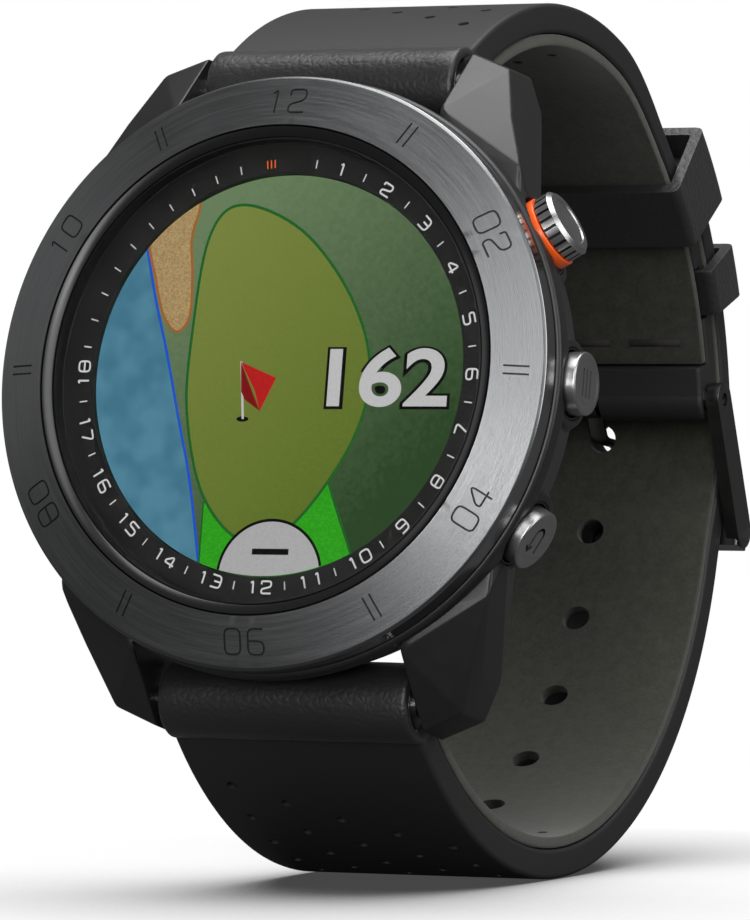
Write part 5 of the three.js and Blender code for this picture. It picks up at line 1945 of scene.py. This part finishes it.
    def upper(self) -> None:
        """Makes the upper half, which is folded round the buckle's bar."""
        inner = ramp(56, 78, self.buckle_inner, LOOP.inner)
        outer = ramp(56, 78, self.buckle_outer, LOOP.outer)
        above = LOOP.lining + LOOP.gap
        spots = [(-x, -angle) for x, angle in self.perforations()]
        leather = self.leather(
            "upper_leather", self.bar_angle + 1, self.start, spots, (), lambda a: inner(a) + above, outer
        )
        fold_inner = self.bar_orbit - self.bar_roll + 0.05
        section = rounded(
            [(-LOOP.half, fold_inner), (LOOP.half, fold_inner), (LOOP.half, self.buckle_outer),
             (-LOOP.half, self.buckle_outer)],
            0.35,
        )
        fold = LOOP.ring_band("fold", section, self.bar_angle, self.fold_end, 0.25)
        bar = LOOP.at(self.bar_angle, self.bar_orbit)
        at_bar = Matrix.Translation(bar * MM) @ SIDEWAYS
        half = LOOP.half
        wall = [(0.95, -half), (self.bar_roll, -half), (self.bar_roll, half), (0.95, half)]
        tube = turned("tube", rounded(wall, 0.35), 48)
        tools = [(fold, Joining.JOIN), (place(tube, at_bar), Joining.JOIN)]
        tools.append((place(turned("bore", [(0.95, -12), (0.95, 12)], 48, ring=False), at_bar), Joining.CUT))
        window = turned("window", [(self.bar_roll + 0.6, -1.25), (self.bar_roll + 0.6, 1.25)], 48, ring=False)
        tools.append((place(window, at_bar), Joining.CUT))
        groove = [(-12, self.buckle_inner - 0.1), (12, self.buckle_inner - 0.1), (12, self.buckle_inner + 1.73),
                  (-12, self.buckle_inner + 1.73)]
        tools.append((LOOP.ring_band("groove", groove, 28.4, 36.6, 0), Joining.CUT))
        for tool, joining in tools:
            combine(leather, tool, joining)
        combine(leather, self.roll(1), Joining.JOIN)
        dress(smooth(leather, 35), "watch", LEATHER, "upper_strap_leather", also=(ROLLED_LEATHER,))
        self.rough_roll(leather, 1)
        lining = self.lining_strip("upper_lining", self.fold_end + 0.3, self.lining_start, spots, (), inner)
        dress(smooth(lining, 35), "watch", LINING, "upper_strap_lining")
        stitches = []
        for i in range(3):
            middle, reach = (i - 1) * self.stitch_pitch, self.stitch_length / 2
            stitches.append(stroke("stitch", [(False, [(middle - reach, 0), (middle + reach, 0)])], 0.7, 0.25))
        seam = join("buckle_stitches", stitches)
        remap(seam, lambda p: LOOP.at(self.seam_angle + p.y / LOOP.per_degree, self.buckle_inner - p.z, p.x))
        dress(face_out(seam), "watch", THREAD)

    def rough_roll(self, leather: Piece, side: int) -> None:
        """Gives the rolled end its coarser leather.

        Args:
            leather: The strap half.
            side: 1 at twelve o'clock, -1 at six o'clock.
        """

        def on_roll(centre: Vector, _normal: Vector) -> bool:
            """Whether a face lies on the roll."""
            return math.hypot(centre.y + self.pin_depth, centre.z - side * self.pin_z) < self.roll_radius * 1.03

        set_faces(leather, 1, on_roll)

    def keeper(self, name: str, body: str, start: float, end: float, low: float, leg: float) -> None:
        """Makes one leather keeper.

        Args:
            name: The frame's node that it stands for.
            body: The body that it moves with.
            start: The angle that it starts at.
            end: The angle that it ends at.
            low: Radius of its inner side.
            leg: Thickness of the leg under the strap.
        """
        outer_half, high, wall = LOOP.half + 1.25, self.tail_outer + 1.15, 0.9
        outside = [(-outer_half, low), (outer_half, low), (outer_half, high), (-outer_half, high)]
        inner_half = outer_half - wall
        inside = [
            (-inner_half, low + leg), (inner_half, low + leg),
            (inner_half, high - wall), (-inner_half, high - wall),
        ]
        shell = LOOP.ring_band(f"{name}_leather", rounded(outside, 0.8, steps=4), start, end, 0.25)
        room = LOOP.ring_band("room", rounded(inside, 0.25, steps=2), start - 3, end + 3, 0)
        combine(shell, room)
        dress(smooth(shell, 35), body, ROLLED_LEATHER, name)

    def build(self) -> None:
        """Makes both halves and both keepers."""
        self.lower()
        self.upper()
        self.keeper("fixed_keeper", "watch", 29, 36, self.buckle_inner + 1.08, 0.5)
        self.keeper("free_keeper", "free_keeper", 42.8, 53.9, self.buckle_inner - 1.15, 0.9)


@dataclass
class Buckle:
    """The black pin buckle: two arms, a crossbar, the bar and the tongue."""

    arm_inner: float = 10.6
    arm_outer: float = 11.7
    arm_width: float = 2.8
    crossbar_angle: float = -2.4
    crossbar_span: float = 4.6
    crossbar_inner: float = 34.29
    crossbar_outer: float = 36.49
    tongue_width: float = 1.5
    tongue_thickness: float = 0.75

    def build(self, strap: Strap) -> None:
        """Makes the frame, the bar and the tongue.

        Args:
            strap: The strap that the buckle closes.
        """
        bar = LOOP.at(strap.bar_angle, strap.bar_orbit)
        end = LOOP.at(self.crossbar_angle, (self.crossbar_inner + self.crossbar_outer) / 2)
        slope = math.atan2(end.z - bar.z, end.y - bar.y)
        half = self.arm_width / 2

        def arc(centre: Vector, radius: float, start: float, steps: int = 14) -> list[tuple[float, float]]:
            """Half a circle round one end of an arm."""
            angles = [slope + start + math.pi * i / steps for i in range(steps + 1)]
            return [(centre.y + radius * math.cos(a), centre.z + radius * math.sin(a)) for a in angles]

        outline = [*arc(end, half, -math.pi / 2), *arc(bar, half, math.pi / 2)]
        arms = []
        for side in (1, -1):
            low, high = sorted((side * self.arm_inner, side * self.arm_outer))
            arm = plate("arm", outline, low, high)
            arms.append(place(bevel(arm, 0.22, 3, 50), SIDEWAYS))
        frame = arms[0]
        x = self.arm_outer - 0.15
        section = rounded(
            [
                (-x, self.crossbar_inner), (x, self.crossbar_inner),
                (x, self.crossbar_outer), (-x, self.crossbar_outer),
            ],
            0.3,
        )
        start = self.crossbar_angle - self.crossbar_span / 2
        crossbar = LOOP.ring_band("crossbar", section, start, start + self.crossbar_span, 0.3)
        combine(frame, crossbar, Joining.JOIN)
        combine(frame, arms[1], Joining.JOIN)
        notch_half = self.tongue_width / 2 + 0.3
        floor = self.crossbar_outer - self.tongue_thickness
        notch = rounded([(-notch_half, floor), (notch_half, floor), (notch_half, 38), (-notch_half, 38)], 0.2)
        combine(frame, LOOP.ring_band("notch", notch, start - 2, start + self.crossbar_span + 2, 0))
        at_bar = Matrix.Translation(bar * MM) @ SIDEWAYS
        combine(frame, place(turned("hole", [(0.55, -13), (0.55, 13)], 32, ring=False), at_bar))
        frame.name = frame.data.name = "metal_frame"
        dress(smooth(frame, 28), "buckle_frame", BUCKLE_METAL, "buckle_frame")

        body_half, tip = self.arm_inner - 0.1, self.arm_outer - 0.4
        pin = turned(
            "bar_pin",
            rounded(
                [
                    (NARROW_HUB, -tip), (0.5, -tip), (0.5, -body_half), (0.8, -body_half),
                    (0.8, body_half), (0.5, body_half), (0.5, tip), (NARROW_HUB, tip),
                ],
                0.08,
                closed=False,
                steps=2,
            ),
            32,
            ring=False,
        )
        dress(smooth(place(pin, at_bar), 28), "buckle_frame", STEEL, "buckle_bar")
        self.tongue(strap, at_bar)

    def tongue(self, strap: Strap, at_bar: Matrix) -> None:
        """Makes the tongue with its ring round the bar.

        Args:
            strap: The strap that it closes.
            at_bar: Where the bar lies.
        """
        hole, rest = strap.tongue_hole, self.crossbar_outer - self.tongue_thickness / 2 + 0.1
        stations = [
            (strap.bar_angle - 1.6, strap.bar_orbit + 0.4),
            (hole + 1.4, strap.tail_inner - 1.0),
            (hole - 0.1, strap.tail_inner - 0.2),
            (hole - 0.8, strap.tail_outer + 0.15),
            (hole - 2.2, strap.tail_outer + 0.8),
            (hole - 6, rest),
            (self.crossbar_angle, rest),
            (self.crossbar_angle - self.crossbar_span / 2, rest),
        ]
        points = [LOOP.at(angle, radius) for angle, radius in stations]
        path = flowing([(p.y, p.z) for p in points], closed=False, steps=5)
        flat = stroke("metal_tongue", [(False, path)], self.tongue_thickness, self.tongue_width)
        bent = place(flat, SIDEWAYS)
        half = self.tongue_width / 2
        eye = turned("eye", rounded([(0.88, -half), (1.55, -half), (1.55, half), (0.88, half)], 0.2), 40)
        combine(bent, place(eye, at_bar), Joining.JOIN)
        combine(bent, place(turned("hole", [(0.88, -3), (0.88, 3)], 40, ring=False), at_bar))
        dress(smooth(bent, 35), "buckle_tongue", BUCKLE_METAL, "buckle_tongue")


# ---- What is hidden ------------------------------------------------------------------------------------


def paint_hidden(frame: dict) -> None:
    """Gives every node of the frame that isn't replaced a procedural finish for its material slot.
    """
    for node in frame["nodes"].values():
        finish = SLOT_FINISHES.get(node.data.materials[0].name.split(".")[0], GLOSS_BLACK)
        node.data.materials.clear()
        node.data.materials.append(finish.material())


# ---- Studio --------------------------------------------------------------------------------------------


@dataclass(frozen=True)
class Softbox:
    """A rectangular studio light."""

    name: str
    direction: tuple[float, float, float]
    distance: float
    width: float
    height: float
    power: float


@dataclass
class Studio:
    """The white studio, its lights and the camera, all built on the watch's lean."""

    lean: float = 10.06
    heading: float = 25.08
    dip: float = 0.69
    target: tuple[float, float, float] = (6.9, -5.5, -5.8)
    distance: float = 515.0
    lens: float = 271.55
    floor_height: float = -37.5
    surround: float = 0.11
    lights: tuple[Softbox, ...] = (
        Softbox("key", (0.35, -0.93, 0.22), 0.6, 0.3, 0.5, 1.6),
        Softbox("top", (0.05, -0.15, 1.0), 0.6, 0.6, 0.5, 4.2),
        Softbox("right", (0.95, -0.2, 0.3), 0.6, 0.3, 0.5, 1.2),
        Softbox("left", (-0.95, -0.25, 0.25), 0.7, 0.3, 0.5, 0.3),
        Softbox("front", (0.1, -0.98, -0.12), 0.7, 0.3, 0.15, 1.0),
    )

    def up(self) -> Vector:
        """The real upward direction, since the watch leans back."""
        lean = math.radians(self.lean)
        return Vector((0, -math.sin(lean), math.cos(lean)))

    def aimed(self, kind: bpy.types.ID, name: str, spot: Vector, target: Vector) -> Piece:
        """Adds a lamp or camera at a spot, looking at a target, upright in the studio.

        Args:
            kind: The lamp's or camera's data.
            name: Its name.
            spot: Its place.
            target: What it looks at.

        Returns:
            The lamp or camera.
        """
        item = bpy.data.objects.new(name, kind)
        bpy.context.scene.collection.objects.link(item)
        forward = (target - spot).normalized()
        right = forward.cross(self.up()).normalized()
        above = right.cross(forward)
        item.matrix_world = Matrix.Translation(spot) @ Matrix((right, above, -forward)).transposed().to_4x4()
        return item

    def build(self) -> None:
        """Sets up the floor, the surroundings, the lights and the camera."""
        up = self.up()
        take()
        bpy.ops.mesh.primitive_plane_add(size=6)
        floor = bpy.context.object
        floor.name = "studio_floor"
        tilt = Vector((0, 0, 1)).rotation_difference(up).to_matrix().to_4x4()
        floor.matrix_world = Matrix.Translation(up * self.floor_height * MM) @ tilt
        floor.data.materials.append(self.floor_material())
        self.surroundings()
        centre = Vector((0, 5, 0)) * MM
        for box in self.lights:
            lamp = bpy.data.lights.new(box.name, "AREA")
            lamp.shape = "RECTANGLE"
            lamp.size, lamp.size_y, lamp.energy = box.width, box.height, box.power
            spot = centre + Vector(box.direction).normalized() * box.distance
            self.aimed(lamp, f"light_{box.name}", spot, centre)
        camera = bpy.data.cameras.new("camera")
        camera.lens, camera.sensor_width, camera.sensor_fit = self.lens, 36, "AUTO"
        camera.clip_start, camera.clip_end = 0.01, 20
        target = Vector(self.target) * MM
        level = Vector((0, math.cos(math.radians(self.lean)), math.sin(math.radians(self.lean))))
        across = level.cross(up)
        heading, dip = math.radians(self.heading), math.radians(self.dip)
        ahead = (level * math.cos(heading) - across * math.sin(heading)) * math.cos(dip) - up * math.sin(dip)
        view = self.aimed(camera, "camera", target - ahead * self.distance * MM, target)
        bpy.context.scene.camera = view
        bpy.context.scene.view_settings.view_transform = "Standard"

    def floor_material(self) -> bpy.types.Material:
        """Paper as white as the surroundings, with a soft shadow where something stands close to it.

        Returns:
            The material.
        """
        material = bpy.data.materials.new("studio_paper")
        material.use_nodes = True
        material.node_tree.nodes.clear()
        sheet = NodeSheet(material.node_tree)
        open_sky = sheet.add("ShaderNodeAmbientOcclusion", {"Distance": 0.035}, samples=16).outputs["AO"]
        shadow = sheet.add("ShaderNodeMapRange", {0: open_sky, 1: 0.3, 2: 0.97, 3: 0.06, 4: 1.0}).outputs[0]
        seen = sheet.add("ShaderNodeLightPath").outputs["Is Camera Ray"]
        level = sheet.add("ShaderNodeMapRange", {0: seen, 3: self.surround, 4: 1.0}).outputs[0]
        strength = sheet.math("MULTIPLY", shadow, level)
        glow = sheet.add("ShaderNodeEmission", {"Strength": strength}).outputs[0]
        sheet.add("ShaderNodeOutputMaterial", {"Surface": glow})
        return material

    def surroundings(self) -> None:
        """White for the camera and an even grey for reflections."""
        world = bpy.data.worlds.new("studio")
        bpy.context.scene.world = world
        world.use_nodes = True
        world.node_tree.nodes.clear()
        sheet = NodeSheet(world.node_tree)
        seen = sheet.add("ShaderNodeLightPath").outputs["Is Camera Ray"]
        level = sheet.add("ShaderNodeMapRange", {0: seen, 3: self.surround, 4: 1.0}).outputs[0]
        light = sheet.add("ShaderNodeBackground", {"Color": (1, 1, 1, 1), "Strength": level}).outputs[0]
        sheet.add("ShaderNodeOutputWorld", {"Surface": light})


def corners(bounds: object) -> list[list[float]]:
    """Bounds as plain lists."""
    return [[float(value) for value in corner] for corner in bounds]


def main() -> None:
    """Builds every visible piece on the frame, then the studio."""
    logging.basicConfig(level=logging.INFO, format="%(message)s")
    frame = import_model()
    paint_hidden(frame)
    Bezel().build()
    NumberRing().build()
    HolePicture().build()
    CoverGlass().build()
    Case().build(BUTTONS)
    for button in BUTTONS:
        button.build()
    strap = Strap()
    strap.build()
    Buckle().build(strap)
    Studio().build()


if __name__ == "__main__":
    main()
